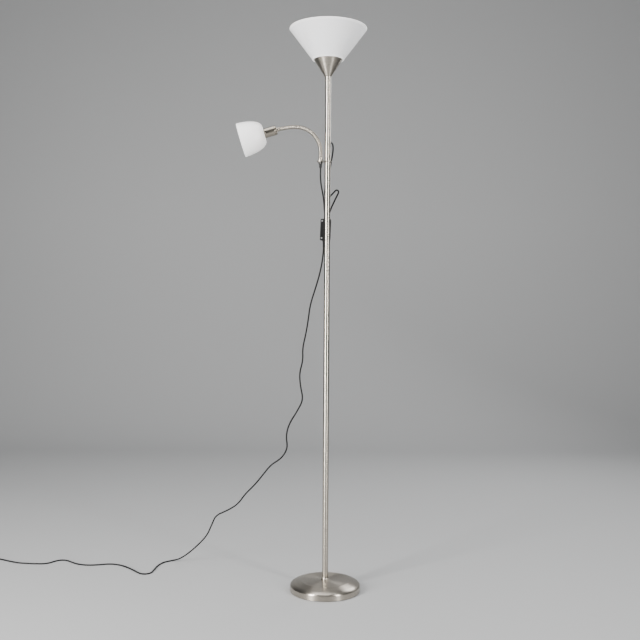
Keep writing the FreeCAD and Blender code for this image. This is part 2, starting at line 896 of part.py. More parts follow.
def make_switch_back():
    face = switch_depth / 2
    shell = switch_half_shell()
    shell = shell.fuse(switch_bosses(screw_radius + slip_fit, face - switch_wall)).removeSplitter()
    for place in screw_places():
        shell = shell.cut(along_y(screw_radius + slip_fit, place.x, place.z, -1, face + 1))
        shell = shell.cut(along_y(screw_head_radius + free_gap, place.x, place.z,
                                  face - screw_head_height, face + 1))
    shell = shell.mirror(Vector(0, 0, 0), SIDE)
    return in_switch(shell.cut(lead_holes()))


def make_switch_screws():
    face = switch_depth / 2
    seat = -(face - screw_head_height)
    screws = []
    for place in screw_places():
        shaft = along_y(screw_radius, place.x, place.z, seat, seat + screw_length)
        head = along_y(screw_head_radius, place.x, place.z, seat - screw_head_height, seat)
        slot = Part.makeBox(2 * screw_head_radius + 1, 0.7, 0.7,
                            Vector(place.x - screw_head_radius - 0.5, seat - screw_head_height,
                                   place.z - 0.35))
        screws.append(in_switch(shaft.fuse(head).removeSplitter().cut(slot)))
    return Part.makeCompound(screws)


def make_rocker(side):
    """A see-saw button on two pins, drawn level and then tipped to its lower stop."""
    half = rocker_length / 2
    section = [
        Vector(0, -rocker_skirt, -half),
        Vector(0, rocker_crown, -half),
        Vector(0, rocker_valley, 0),
        Vector(0, rocker_crown, half),
        Vector(0, -rocker_skirt, half),
        Vector(0, -rocker_keel, 0),
        Vector(0, -rocker_skirt, -half),
    ]
    button = Part.Face(Part.makePolygon(section)).extrude(Vector(rocker_width, 0, 0))
    button.translate(Vector(-rocker_width / 2, 0, 0))
    reach = rocker_width / 2 + rocker_pin_length
    pin = Part.makeCylinder(rocker_pin_radius, 2 * reach, Vector(-reach, 0, 0), Vector(1, 0, 0))
    button = button.fuse(pin).removeSplitter()
    button.rotate(Vector(0, 0, 0), Vector(1, 0, 0), -rocker_throw)
    button.translate(Vector(side * rocker_x, switch_depth / 2 - rocker_pivot_depth, 0))
    return in_switch(button)


def make_switch_terminals():
    """Two rows of brass terminal blocks on the floor of the back shell."""
    floor = -(switch_depth / 2 - switch_wall)
    blocks = []
    for column in (-1, 0, 1):
        for row in (-1, 1):
            corner = Vector(column * terminal_spacing - terminal_width / 2, floor,
                            row * terminal_row - terminal_height / 2)
            block = Part.makeBox(terminal_width, terminal_thickness, terminal_height, corner)
            blocks.append(in_switch(block))
    return Part.makeCompound(blocks)


def make_mains_relief():
    """The tapered rubber sleeve where the mains lead leaves the switch."""
    top = -switch_height / 2
    points = [(0, top), (relief_radius + 0.8, top), (relief_radius + 0.8, top - 2),
              (relief_radius, top - 3), (relief_tip_radius, top - relief_length),
              (0, top - relief_length)]
    sleeve = turned(points)
    sleeve.translate(Vector(bottom_entry, 0, 0))
    return in_switch(sleeve)


# ------------------------------------------------------------------ cords
def cord_tube(name, points, radius):
    """A tube along straight runs joined by tangent arcs as large as the runs allow."""
    edges = []
    radii = []
    here = points[0]
    length = 0.0
    for before, corner, after in zip(points, points[1:], points[2:]):
        back = (before - corner).normalize()
        ahead = (after - corner).normalize()
        turn = math.pi - back.getAngle(ahead)
        shorter = min((before - corner).Length, (after - corner).Length)
        tangent = 0.45 * shorter
        bend = tangent / math.tan(turn / 2)
        radii.append(bend)
        start = corner + back * tangent
        end = corner + ahead * tangent
        inward = (back + ahead).normalize()
        middle = corner + inward * (bend / math.cos(turn / 2) - bend)
        edges.append(Part.LineSegment(here, start).toShape())
        edges.append(Part.Arc(start, middle, end).toShape())
        length += (start - here).Length + bend * turn
        here = end
    edges.append(Part.LineSegment(here, points[-1]).toShape())
    length += (points[-1] - here).Length
    path = Part.Wire(edges)
    section = Part.Wire(Part.makeCircle(radius, points[0], points[1] - points[0]))
    solid = path.makePipeShell([section], True, False)
    ratio = solid.Volume / (math.pi * radius ** 2 * length)
    print(name, "length %.0f, volume ratio %.4f, bend radii" % (length, ratio),
          " ".join("%.0f" % bend for bend in radii))
    return solid


def uplight_route():
    """From the grommet, round the back of the pole, out in a slack fold, into the switch."""
    exit_radius = pole_radius + grommet_flange
    mouth = polar(exit_radius, lead_exit_angle, lead_exit)
    outside = polar(exit_radius + 5, lead_exit_angle, lead_exit - 0.5)
    entry = switch_point(top_entry_uplight, 0, switch_height / 2 - entry_depth)
    above_entry = switch_point(top_entry_uplight, 0, switch_height / 2 + 9)
    return [
        mouth,
        outside,
        Vector(17.3, 11.5, 1430),
        Vector(18.2, 13.2, 1419),
        Vector(16.4, 15, 1401),
        Vector(12.6, 17, 1380),
        Vector(8.6, 19.5, 1357),
        Vector(3, 22, 1332),
        Vector(-3, 24, 1309),
        Vector(-7, 25.4, 1291),
        Vector(-8.6, 26, 1278.5),
        Vector(-7.9, 26.2, 1269.8),
        Vector(-4.4, 26.3, 1264.6),
        Vector(1.5, 26.3, 1262.4),
        Vector(7.6, 26.2, 1264.3),
        Vector(14.3, 26, 1272),
        Vector(21.4, 25.8, 1279.4),
        Vector(27.5, 25.6, 1286.2),
        Vector(32, 25.5, 1286.8),
        Vector(35.7, 25.3, 1284.2),
        Vector(36.9, 25.1, 1279.7),
        Vector(33.6, 24.6, 1272),
        Vector(28, 24, 1261),
        Vector(21.6, 23.3, 1247),
        Vector(14.6, 22.6, 1232.5),
        Vector(9.4, 22, 1218),
        above_entry,
        entry,
    ]


def reading_route():
    """From the bush under the neck, down behind the pole's left side, into the switch."""
    bottom = plate_bottom - neck_nut_height - bushing_height
    start = Vector(-neck_offset, 0, bottom)
    entry = switch_point(top_entry_reading, 0, switch_height / 2 - entry_depth)
    above_entry = switch_point(top_entry_reading, 0, switch_height / 2 + 18)
    return [
        start,
        Vector(-neck_offset, 0, bottom - 16),
        Vector(-22.3, 2.6, bottom - 34),
        Vector(-20.4, 7, bottom - 52),
        Vector(-17, 12, bottom - 70),
        Vector(-13, 16.4, bottom - 90),
        Vector(-10.4, 18.6, bottom - 112),
        Vector(-9, 20, bottom - 134),
        above_entry,
        entry,
    ]


def mains_route():
    """Hanging from the switch, sweeping down to the floor on the left, then along it."""
    start = switch_point(bottom_entry, 0, -switch_height / 2 - relief_length)
    below = switch_point(bottom_entry, 0, -switch_height / 2 - relief_length - 26)
    lie = cord_radius
    coil_level = cord_radius + coil_lift
    return [
        start,
        below,
        Vector(-21, 27, 1022),
        Vector(-36, 36, 970),
        Vector(-54, 46, 914),
        Vector(-60, 51, 862),
        Vector(-68, 55, 815),
        Vector(-78, 60, 772),
        Vector(-76, 61, 732),
        Vector(-88, 66, 690),
        Vector(-84, 66, 646),
        Vector(-74, 61, 604),
        Vector(-96, 71, 562),
        Vector(-121, 84, 522),
        Vector(-132, 91, 480),
        Vector(-125, 90, 440),
        Vector(-146, 100, 404),
        Vector(-182, 119, 380),
        Vector(-210, 136, 342),
        Vector(-240, 153, 303),
        Vector(-272, 171, 270),
        Vector(-299, 186, 230),
        Vector(-340, 210, 202),
        Vector(-380, 233, 181),
        Vector(-396, 243, 141),
        Vector(-413, 252, 104),
        Vector(-445, 270, 68),
        Vector(-478, 287, 36),
        Vector(-513, 301, 9),
        Vector(-545, 301, lie),
        Vector(-570, 280, lie),
        Vector(-582, 242, lie),
        Vector(-585, 202, lie),
        Vector(-586.5, 177, lie),
        Vector(-589, 159.5, lie),
        Vector(-601.5, 147.8, lie),
        Vector(-618.5, 148, lie),
        Vector(-632, 160, lie),
        Vector(-648, 181, lie),
        Vector(-676, 214, lie),
        Vector(-712, 247, lie),
        Vector(-752, 260, lie),
        Vector(-788, 247, lie),
        Vector(-826, 241, lie),
        Vector(-864, 253, lie),
        Vector(-893, 278, lie),
        Vector(-914, 298, lie),
        Vector(-936, 301, lie),
        Vector(-953, 288, lie),
        Vector(-963, 268, lie),
        Vector(-983, 254, lie),
        Vector(-1022, 256, lie),
        Vector(-1070, 262, lie),
        Vector(-1110, 281, lie),
        Vector(-1148, 305, lie),
        Vector(-1186, coil_centre.y + coil_start_radius - 0.6, lie + 0.4),
        Vector(coil_centre.x, coil_centre.y + coil_start_radius, coil_level),
    ]


def coil_state(turns):
    """Radius and height of the coil's centre line after a number of turns."""
    low = cord_radius + coil_lift
    if turns <= coil_turns_below:
        return coil_start_radius - coil_step * turns, low
    inner = coil_start_radius - coil_step * coil_turns_below
    climbed = (turns - coil_turns_below) / coil_climb_turns
    if climbed >= 1:
        outward = turns - coil_turns_below - coil_climb_turns
        return inner + coil_step * outward, low + coil_rise
    return inner, low + coil_rise * (1 - math.cos(math.pi * climbed)) / 2


def coil_point(turns):
    """A point of the coil. It starts at the coil's back, heading -X, and winds round."""
    radius, height = coil_state(turns)
    angle = math.pi / 2 + 2 * math.pi * turns
    return coil_centre + Vector(radius * math.cos(angle), radius * math.sin(angle), height)


def coil_tangent(turns):
    step = 0.001
    return (coil_point(turns + step) - coil_point(turns - step)).normalize()


def arc_from_tangent(start, control, end):
    """The arc from start to end whose end tangents meet at the control point."""
    chord_middle = (start + end) / 2
    half_chord = (end - start).Length / 2
    side = (control - start).Length
    half_angle = math.acos(min(1.0, half_chord / side))
    if half_angle < 0.0001:
        return Part.LineSegment(start, end).toShape()
    rise = math.tan(half_angle / 2) / math.tan(half_angle)
    return Part.Arc(start, chord_middle + (control - chord_middle) * rise, end).toShape()


def biarc(start, start_tangent, end, end_tangent):
    """Two arcs that leave and arrive along the given tangents."""
    chord = end - start
    spread = 2 * (1 - start_tangent.dot(end_tangent))
    reach = chord.dot(start_tangent + end_tangent)
    if spread < 0.000001:
        side = chord.dot(chord) / (2 * reach)
    else:
        side = (-reach + math.sqrt(reach * reach + spread * chord.dot(chord))) / spread
    first_control = start + start_tangent * side
    second_control = end - end_tangent * side
    joint = (first_control + second_control) / 2
    return [arc_from_tangent(start, first_control, joint), arc_from_tangent(joint, second_control, end)]


coil_total_turns = coil_turns_below + coil_climb_turns + coil_turns_above
coil_end = coil_point(coil_total_turns)
coil_end_tangent = Vector(0, -1, 0)
tail_end = Vector(coil_end.x, coil_end.y - plug_tail, plug_thickness / 2)


def make_coil():
    """The put-away length: two layers of turns, spiralling in below and out above."""
    quarters = round(coil_total_turns * 4)
    stations = [coil_total_turns * quarter / quarters for quarter in range(quarters + 1)]
    points = [coil_point(turns) for turns in stations]
    tangents = [coil_tangent(turns) for turns in stations]
    tangents[0] = Vector(-1, 0, 0)
    tangents[-1] = coil_end_tangent
    straight = 2 * cord_radius
    lead_in = points[0]
    points[0] = lead_in + tangents[0] * straight
    edges = [Part.LineSegment(lead_in, points[0]).toShape()]
    for quarter in range(quarters):
        edges += biarc(points[quarter], tangents[quarter], points[quarter + 1], tangents[quarter + 1])
    dropped = tail_end - coil_end_tangent * straight
    edges += biarc(coil_end, coil_end_tangent, dropped, coil_end_tangent)
    edges.append(Part.LineSegment(dropped, tail_end).toShape())
    path = Part.Wire(edges)
    section = Part.Wire(Part.makeCircle(cord_radius, lead_in, tangents[0]))
    solid = path.makePipeShell([section], True, False)
    print("coil length %.0f, volume ratio %.4f, least gap to itself %.2f" %
          (path.Length, solid.Volume / (math.pi * cord_radius ** 2 * path.Length), least_gap(path)))
    return solid


def least_gap(path):
    """The least distance between two stretches of a tube, measured on points of its line."""
    samples = path.discretize(Number=400)
    spacing = path.Length / 399
    apart = int(8 * cord_radius / spacing)
    nearest = min((samples[i] - samples[j]).Length
                  for i in range(len(samples)) for j in range(i + apart, len(samples)))
    return nearest - 2 * cord_radius


def make_coil_ties():
    """Two flat bands round the bundle, on opposite sides of the coil."""
    top = 2 * cord_radius + coil_lift + coil_rise + free_gap
    ties = []
    for share in tie_places:
        crossings = [share + turn for turn in range(4) if share + turn <= coil_total_turns]
        radii = [coil_state(turns)[0] for turns in crossings]
        inner = min(radii) - cord_radius - 2 * free_gap
        outer = max(radii) + cord_radius + 2 * free_gap
        outside = Part.makeBox(outer - inner + 2 * tie_thickness, tie_width, top + tie_thickness,
                               Vector(inner - tie_thickness, -tie_width / 2, 0))
        inside = Part.makeBox(outer - inner, tie_width + 2, top - tie_thickness,
                              Vector(inner, -tie_width / 2 - 1, tie_thickness))
        band = outside.cut(inside)
        band.rotate(Vector(0, 0, 0), UP, 90 + 360 * share)
        band.translate(coil_centre)
        ties.append(band)
    return Part.makeCompound(ties)


plug_face = plug_relief_length + plug_length


def in_plug(shape):
    """Place a shape built along +Z from the cord's end, lying flat."""
    rotation = FreeCAD.Rotation(Vector(1, 0, 0), UP.cross(Vector(1, 0, 0)) * -1, coil_end_tangent, "ZXY")
    copy = shape.copy()
    copy.Placement = FreeCAD.Placement(tail_end, rotation).multiply(copy.Placement)
    return copy


def make_plug_body():
    half = plug_width / 2
    back = plug_back_width / 2
    corners = [
        Vector(-back, 0, plug_relief_length),
        Vector(back, 0, plug_relief_length),
        Vector(half, 0, plug_relief_length + plug_taper),
        Vector(half, 0, plug_face),
        Vector(-half, 0, plug_face),
        Vector(-half, 0, plug_relief_length + plug_taper),
        Vector(-back, 0, plug_relief_length),
    ]
    block = Part.Face(Part.makePolygon(corners)).extrude(Vector(0, plug_thickness, 0))
    block.translate(Vector(0, -plug_thickness / 2, 0))
    long_edges = [edge for edge in block.Edges if abs(edge.tangentAt(edge.FirstParameter).y) < 0.1]
    block = block.makeFillet(1.6, long_edges)
    relief = Part.makeCone(relief_tip_radius, relief_radius + 0.8, plug_relief_length + 1)
    return in_plug(block.fuse(relief).removeSplitter())


def make_plug_pins():
    pins = []
    for side in (-1, 1):
        pin = turned([(0, plug_face), (pin_radius, plug_face), (pin_radius, plug_face + pin_length - 1.5),
                      (pin_radius * 0.5, plug_face + pin_length), (0, plug_face + pin_length)])
        pin.translate(Vector(side * pin_spacing / 2, 0, 0))
        pins.append(in_plug(pin))
    return Part.makeCompound(pins)


def inner_route():
    """The lead inside the top section, from the grommet up to the lampholder."""
    mouth = polar(pole_radius + grommet_flange, lead_exit_angle, lead_exit)
    return [mouth, Vector(0, 0, lead_exit), Vector(0, 0, holder_cap_bottom + 5)]


# ------------------------------------------------------------------ write every piece
def build():
    sections = make_pole_sections()
    parts = {
        "base_cover": make_base_cover(),
        "base_weight": make_base_weight(),
        "base_felt_pad": rod(pad_radius, 0, pad_thickness),
        "base_bolt": make_base_bolt(),
        "pole_foot_collar": make_foot_collar(),
        "pole_section_1": sections[0],
        "pole_section_2": sections[1],
        "pole_section_3": sections[2],
        "pole_section_4": sections[3],
        "pole_bushes": make_pole_bushes(),
        "pole_studs": make_pole_studs(),
        "pole_grommet": make_grommet(),
        "shade_cup": make_shade_cup(),
        "cup_nipple": tube(thread_radius, nipple_bore, pole_top - nipple_drop, holder_cap_bottom + 3),
        "cup_lock_nut": hex_nut(lock_nut_flats, thread_radius + slip_fit, cup_inside, lock_nut_top),
        "main_holder_cap": make_main_holder_cap(),
        "main_holder_body": make_main_holder_body(),
        "main_screw_shell": make_screw_shell(holder_socket_radius, holder_seat, cup_rim + holder_sleeve_height - 4),
        "main_centre_contact": rod(contact_radius, holder_seat, bulb_bottom),
        "main_shade": make_main_shade(),
        "main_shade_ring": make_shade_ring(holder_sleeve_radius, ring_width, shade_floor_top, ring_height),
        "main_bulb_cap": make_bulb_cap(bulb_cap_radius, bulb_bottom, bulb_cap_height),
        "main_bulb_globe": make_bulb_globe(bulb_radius, bulb_cap_radius, bulb_bottom + bulb_cap_height,
                                           bulb_bottom + bulb_height, bulb_bands),
        "arm_plate": make_arm_plate(),
        "neck_base_ferrule": make_base_ferrule(),
        "neck_nut": make_neck_nut(),
        "lead_bushing": make_lead_bushing(),
        "neck_tip_ferrule": make_tip_ferrule(),
        "neck_tip_nut": make_tip_nut(),
        "reading_cup": make_reading_cup(),
        "reading_holder_cap": make_reading_holder_cap(),
        "reading_holder_body": make_reading_holder_body(),
        "reading_screw_shell": in_head(make_screw_shell(head_socket_radius, head_seat, head_sleeve_end - 4)),
        "reading_centre_contact": in_head(rod(contact_radius * 0.7, head_seat, head_bulb_start)),
        "reading_shade": make_reading_shade(),
        "reading_shade_ring": in_head(make_shade_ring(head_sleeve_radius, head_ring_width,
                                                      head_cup_length + head_shade_wall, head_ring_height)),
        "reading_bulb_cap": in_head(make_bulb_cap(head_bulb_cap_radius, head_bulb_start, head_bulb_cap_height)),
        "reading_bulb_globe": in_head(make_bulb_globe(head_bulb_radius, head_bulb_cap_radius,
                                                      head_bulb_start + head_bulb_cap_height,
                                                      head_bulb_start + head_bulb_height, head_bulb_bands)),
        "switch_front": make_switch_front(),
        "switch_back": make_switch_back(),
        "switch_screws": make_switch_screws(),
        "switch_terminals": make_switch_terminals(),
        "rocker_uplight": make_rocker(1),
        "rocker_reading": make_rocker(-1),
        "mains_strain_relief": make_mains_relief(),
        "pole_inner_lead": cord_tube("inner lead", inner_route(), cord_radius),
        "uplight_lead": cord_tube("uplight lead", uplight_route(), cord_radius),
        "reading_lead": cord_tube("reading lead", reading_route(), cord_radius),
        "mains_lead": cord_tube("mains lead", mains_route(), cord_radius),
        "mains_coil": make_coil(),
        "coil_ties": make_coil_ties(),
        "plug_body": make_plug_body(),
        "plug_pins": make_plug_pins(),
    }
    for index in range(link_count):
        parts["neck_link_%d" % (index + 1)] = make_neck_link(index)
    return parts


os.makedirs("parts", exist_ok=True)
for node, shape in build().items():
    assert shape.isValid(), node
    shape.exportStep("parts/%s.step" % node)
    print("%-24s %7.1f cm3" % (node, shape.Volume / 1000))
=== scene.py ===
# %% [markdown]
# A torchiere floor lamp with a reading light, dressed for a studio picture.
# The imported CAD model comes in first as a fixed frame: every piece below is built round it in
# metres, in the same place, so that nothing has to be fitted afterwards.

# %% Load the frame
import bpy
import bmesh
import json
import math
from mathutils import Matrix, Quaternion, Vector


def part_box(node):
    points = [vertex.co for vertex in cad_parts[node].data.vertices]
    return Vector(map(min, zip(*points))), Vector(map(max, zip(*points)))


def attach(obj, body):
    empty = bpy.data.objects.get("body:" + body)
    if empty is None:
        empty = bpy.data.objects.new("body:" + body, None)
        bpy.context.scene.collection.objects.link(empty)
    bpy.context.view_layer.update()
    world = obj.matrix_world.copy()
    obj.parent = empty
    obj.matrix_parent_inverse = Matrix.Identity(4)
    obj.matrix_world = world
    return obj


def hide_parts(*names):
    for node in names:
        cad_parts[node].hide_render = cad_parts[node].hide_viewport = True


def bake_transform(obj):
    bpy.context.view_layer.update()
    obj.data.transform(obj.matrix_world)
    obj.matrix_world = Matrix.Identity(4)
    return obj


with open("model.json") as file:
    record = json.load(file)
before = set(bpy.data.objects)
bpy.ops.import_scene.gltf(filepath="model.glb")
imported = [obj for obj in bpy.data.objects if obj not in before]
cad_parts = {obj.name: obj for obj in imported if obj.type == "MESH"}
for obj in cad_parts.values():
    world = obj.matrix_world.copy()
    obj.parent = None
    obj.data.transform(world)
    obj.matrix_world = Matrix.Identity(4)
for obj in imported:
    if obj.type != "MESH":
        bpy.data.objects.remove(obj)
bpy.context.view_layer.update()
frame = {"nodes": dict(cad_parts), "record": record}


# %% Objects, meshes and arcs
def new_object(name, data):
    """An object for the data, linked to the scene."""
    made = bpy.data.objects.new(name, data)
    bpy.context.scene.collection.objects.link(made)
    return made


def evaluated_mesh(item):
    """An object with its modifiers or its curve's thickness, as a new plain mesh."""
    graph = bpy.context.evaluated_depsgraph_get()
    return bpy.data.meshes.new_from_object(item.evaluated_get(graph))


def arc_angles(steps, first=0, total=90.0, start=0.0):
    """The angles, in radians, of the steps from first to steps of an arc of total degrees."""
    return [math.radians(start + total * step / steps) for step in range(first, steps + 1)]


# %% [markdown]
# The camera comes next, because everything else is judged through it. The photograph was taken
# from about 2.8 m away and 0.92 m up, with a short telephoto view. Its horizon lies a little
# above the middle of the picture, which a small lens shift gives without tilting the uprights,
# and the lamp leans a third of a degree, which is a roll of the camera.

# %% Camera
picture_side = 640.0
focal_pixels = 870.0
sensor_width = 36.0
horizon_row = 303.0
camera_place = Vector((-0.0215, -2.790, 0.921))
camera_roll = -0.0060

camera_data = bpy.data.cameras.new("studio_camera")
camera_data.sensor_width = sensor_width
camera_data.lens = sensor_width * focal_pixels / picture_side
camera_data.shift_y = (horizon_row - picture_side / 2) / picture_side
camera = new_object("studio_camera", camera_data)
camera.location = camera_place
camera.rotation_euler = (math.radians(90), camera_roll, 0)
bpy.context.scene.camera = camera
print("lens %.2f mm" % camera_data.lens)

# %% [markdown]
# Light and floor. The photograph is lit by big windows: a broad one to the left of the camera
# and a narrower one to its right. On brushed tube these show as two long bright lines, so two
# tall soft boxes stand in for them. A weak one stands behind the lamp, another hangs over it,
# and the world fills in. The floor is plain and pale, and only catches the shadow.

# %% Floor, world and lights
floor_reach, floor_back, wall_top = 9.0, 2.6, 6.0
sweep_radius, sweep_steps = 1.6, 16


def make_floor():
    rows = [(-floor_reach, 0.0), (floor_back, 0.0)]
    rows += [(floor_back + sweep_radius * math.sin(angle), sweep_radius * (1 - math.cos(angle)))
             for angle in arc_angles(sweep_steps, 1)]
    rows.append((floor_back + sweep_radius, wall_top))
    verts = [(x, y, z) for y, z in rows for x in (-floor_reach, floor_reach)]
    faces = [(2 * i, 2 * i + 1, 2 * i + 3, 2 * i + 2) for i in range(len(rows) - 1)]
    mesh = bpy.data.meshes.new("studio_floor")
    mesh.from_pydata(verts, [], faces)
    mesh.shade_smooth()
    paint = bpy.data.materials.new("pale_floor")
    paint.use_nodes = True
    shader = paint.node_tree.nodes["Principled BSDF"].inputs
    shader["Base Color"].default_value = (0.46, 0.465, 0.47, 1)
    shader["Roughness"].default_value = 0.7
    mesh.materials.append(paint)
    new_object("studio_floor", mesh)


def soft_box(name, place, aim, width, height, watts, colour=(1, 1, 1)):
    data = bpy.data.lights.new(name, "AREA")
    data.shape = "RECTANGLE"
    data.size = width
    data.size_y = height
    data.energy = watts
    data.color = colour
    lamp = new_object(name, data)
    lamp.location = place
    lamp.rotation_euler = (Vector(aim) - Vector(place)).to_track_quat("-Z", "Y").to_euler()


make_floor()
lamp_middle = (0.0, 0.0, 0.95)
soft_box("window_left", (-2.2, -2.2, 1.4), lamp_middle, width=0.7, height=2.8, watts=235,
         colour=(1.0, 0.985, 0.96))
soft_box("window_right", (2.1, -2.3, 1.4), lamp_middle, width=0.4, height=2.8, watts=95,
         colour=(1.0, 0.99, 0.97))
soft_box("back_glow", (1.6, 2.0, 2.4), lamp_middle, width=1.2, height=1.2, watts=40)
soft_box("ceiling", (-0.3, -0.6, 3.6), (0.0, 0.0, 0.0), width=2.4, height=2.4, watts=60)

world = bpy.data.worlds.new("studio_world")
world.use_nodes = True
background = world.node_tree.nodes["Background"].inputs
background["Color"].default_value = (0.40, 0.42, 0.45, 1)
background["Strength"].default_value = 0.24
bpy.context.scene.world = world


# %% Node trees
class Wiring:
    """Short ways to add nodes to a shader or geometry tree and connect them."""

    def __init__(self, tree):
        self.tree = tree

    def node(self, kind, settings=None, **inputs):
        made = self.tree.nodes.new(kind)
        for label, value in (settings or {}).items():
            setattr(made, label, value)
        for label, value in inputs.items():
            self.give(made.inputs[label.replace("_", " ")], value)
        return made

    def give(self, socket, value):
        if isinstance(value, bpy.types.NodeSocket):
            self.tree.links.new(value, socket)
        else:
            socket.default_value = value

    def math(self, operation, first, second=0.0):
        made = self.node("ShaderNodeMath", {"operation": operation})
        self.give(made.inputs[0], first)
        self.give(made.inputs[1], second)
        return made.outputs[0]

    def times(self, first, second):
        return self.math("MULTIPLY", first, second)

    def vector(self, operation, first, second=None, scale=None):
        made = self.node("ShaderNodeVectorMath", {"operation": operation})
        self.give(made.inputs[0], first)
        if second is not None:
            self.give(made.inputs[1], second)
        if scale is not None:
            self.give(made.inputs["Scale"], scale)
        return made.outputs[0]

    def close(self, geometry, material, output):
        """Every geometry tree ends alike: real geometry with its finish."""
        real = self.node("GeometryNodeRealizeInstances", Geometry=geometry)
        coated = self.node("GeometryNodeSetMaterial", Geometry=real.outputs[0], Material=material)
        self.give(output[0], coated.outputs[0])
        return self.tree


def node_tree(name, kind, inputs, outputs):
    """A new tree's wiring and its sockets. The inputs are rows of label, type and default value,
    the outputs rows of label and type."""
    tree = bpy.data.node_groups.new(name, kind)
    rows = [("INPUT", *row) for row in inputs] + [("OUTPUT", *row, None) for row in outputs]
    for way, label, socket_kind, value in rows:
        socket = tree.interface.new_socket(name=label, in_out=way,
                                           socket_type="NodeSocket" + socket_kind)
        if value is not None:
            socket.default_value = value
    given, output = tree.nodes.new("NodeGroupInput"), tree.nodes.new("NodeGroupOutput")
    return Wiring(tree), given.outputs, output.inputs


# %% [markdown]
# Finishes. Several of them share an effect: the fine lines that polishing leaves on turned
# metal, cloudy handling marks, the grain of moulded plastic, and dust that settles on upward
# faces. Each effect is one node group with named inputs, made once, and every material places
# it with its own values. The groups give out masks and heights only; the shader stays in the
# material, where its constant settings are also kept.

# %% Shader node groups
def shader_group(name, inputs, outputs):
    """A group of shader nodes: a Vector and then float inputs, and float outputs."""
    return node_tree(name, "ShaderNodeTree", [("Vector", "Vector", None)]
                     + [(label, "Float", value) for label, value in inputs],
                     [(label, "Float") for label in outputs])


def make_turned_grain():
    """Fine lines round a turned or drawn surface, read from its UV map: U round, V in metres."""
    w, given, out = shader_group("turned grain", [("Lines per Metre", 3000.0), ("Break-up", 6.0)],
                                 ["Lines", "Bands"])
    split = w.node("ShaderNodeSeparateXYZ", Vector=given["Vector"]).outputs
    around = w.times(split["X"], given["Break-up"])
    along = w.times(split["Y"], given["Lines per Metre"])
    for share, label in ((1.0, "Lines"), (0.04, "Bands")):
        place = w.node("ShaderNodeCombineXYZ", X=around, Y=w.times(along, share)).outputs[0]
        noise = w.node("ShaderNodeTexNoise", Vector=place, Scale=1.0, Detail=3.0)
        w.give(out[label], noise.outputs["Fac"])
    return w.tree


def make_handling():
    """Cloudy smudges, and here and there in them a faint scratch, drawn out along Z."""
    w, given, out = shader_group("handling marks", [("Patch Size", 0.05)], ["Smudge", "Scratch"])
    scale = w.math("DIVIDE", 1.0, given["Patch Size"])
    cloud = w.node("ShaderNodeTexNoise", Vector=given["Vector"], Scale=scale, Detail=4.0)
    drawn_out = w.vector("MULTIPLY", given["Vector"], (1.0, 1.0, 0.12))
    fine = w.node("ShaderNodeTexNoise", Vector=drawn_out, Scale=w.times(scale, 6.0), Detail=1.0)
    width = w.math("ABSOLUTE", w.math("SUBTRACT", fine.outputs["Fac"], 0.5))
    thin = w.math("LESS_THAN", width, 0.003)
    handled = w.math("GREATER_THAN", cloud.outputs["Fac"], 0.54)
    w.give(out["Smudge"], cloud.outputs["Fac"])
    w.give(out["Scratch"], w.times(thin, handled))
    return w.tree


def make_moulded_grain():
    """The fine pebbled skin of moulded plastic and rubber."""
    w, given, out = shader_group("moulded grain", [("Grain Size", 0.0006)], ["Height", "Shade"])
    scale = w.math("DIVIDE", 1.0, given["Grain Size"])
    cells = w.node("ShaderNodeTexVoronoi", {"feature": "SMOOTH_F1"}, Vector=given["Vector"],
                   Scale=scale)
    cloud = w.node("ShaderNodeTexNoise", Vector=given["Vector"], Scale=w.times(scale, 0.02))
    w.give(out["Height"], cells.outputs["Distance"])
    w.give(out["Shade"], cloud.outputs["Fac"])
    return w.tree


def make_dust():
    """Dust on faces that look up, in loose patches."""
    w, given, out = shader_group("settled dust", [("Amount", 0.3)], ["Dust"])
    facing = w.node("ShaderNodeNewGeometry").outputs["Normal"]
    up = w.math("MAXIMUM", w.node("ShaderNodeSeparateXYZ", Vector=facing).outputs["Z"], 0.0)
    noise = w.node("ShaderNodeTexNoise", Vector=given["Vector"], Scale=60.0, Detail=6.0)
    w.give(out["Dust"], w.times(w.times(up, noise.outputs["Fac"]), given["Amount"]))
    return w.tree


turned_grain = make_turned_grain()
handling = make_handling()
moulded_grain = make_moulded_grain()
settled_dust = make_dust()
print("shader groups", [g.name for g in (turned_grain, handling, moulded_grain, settled_dust)])

# %% [markdown]
# A small class starts each material: it holds the shader and has short ways to feed it. Plain
# settings, such as metallic or coat, go on the shader's own sockets.

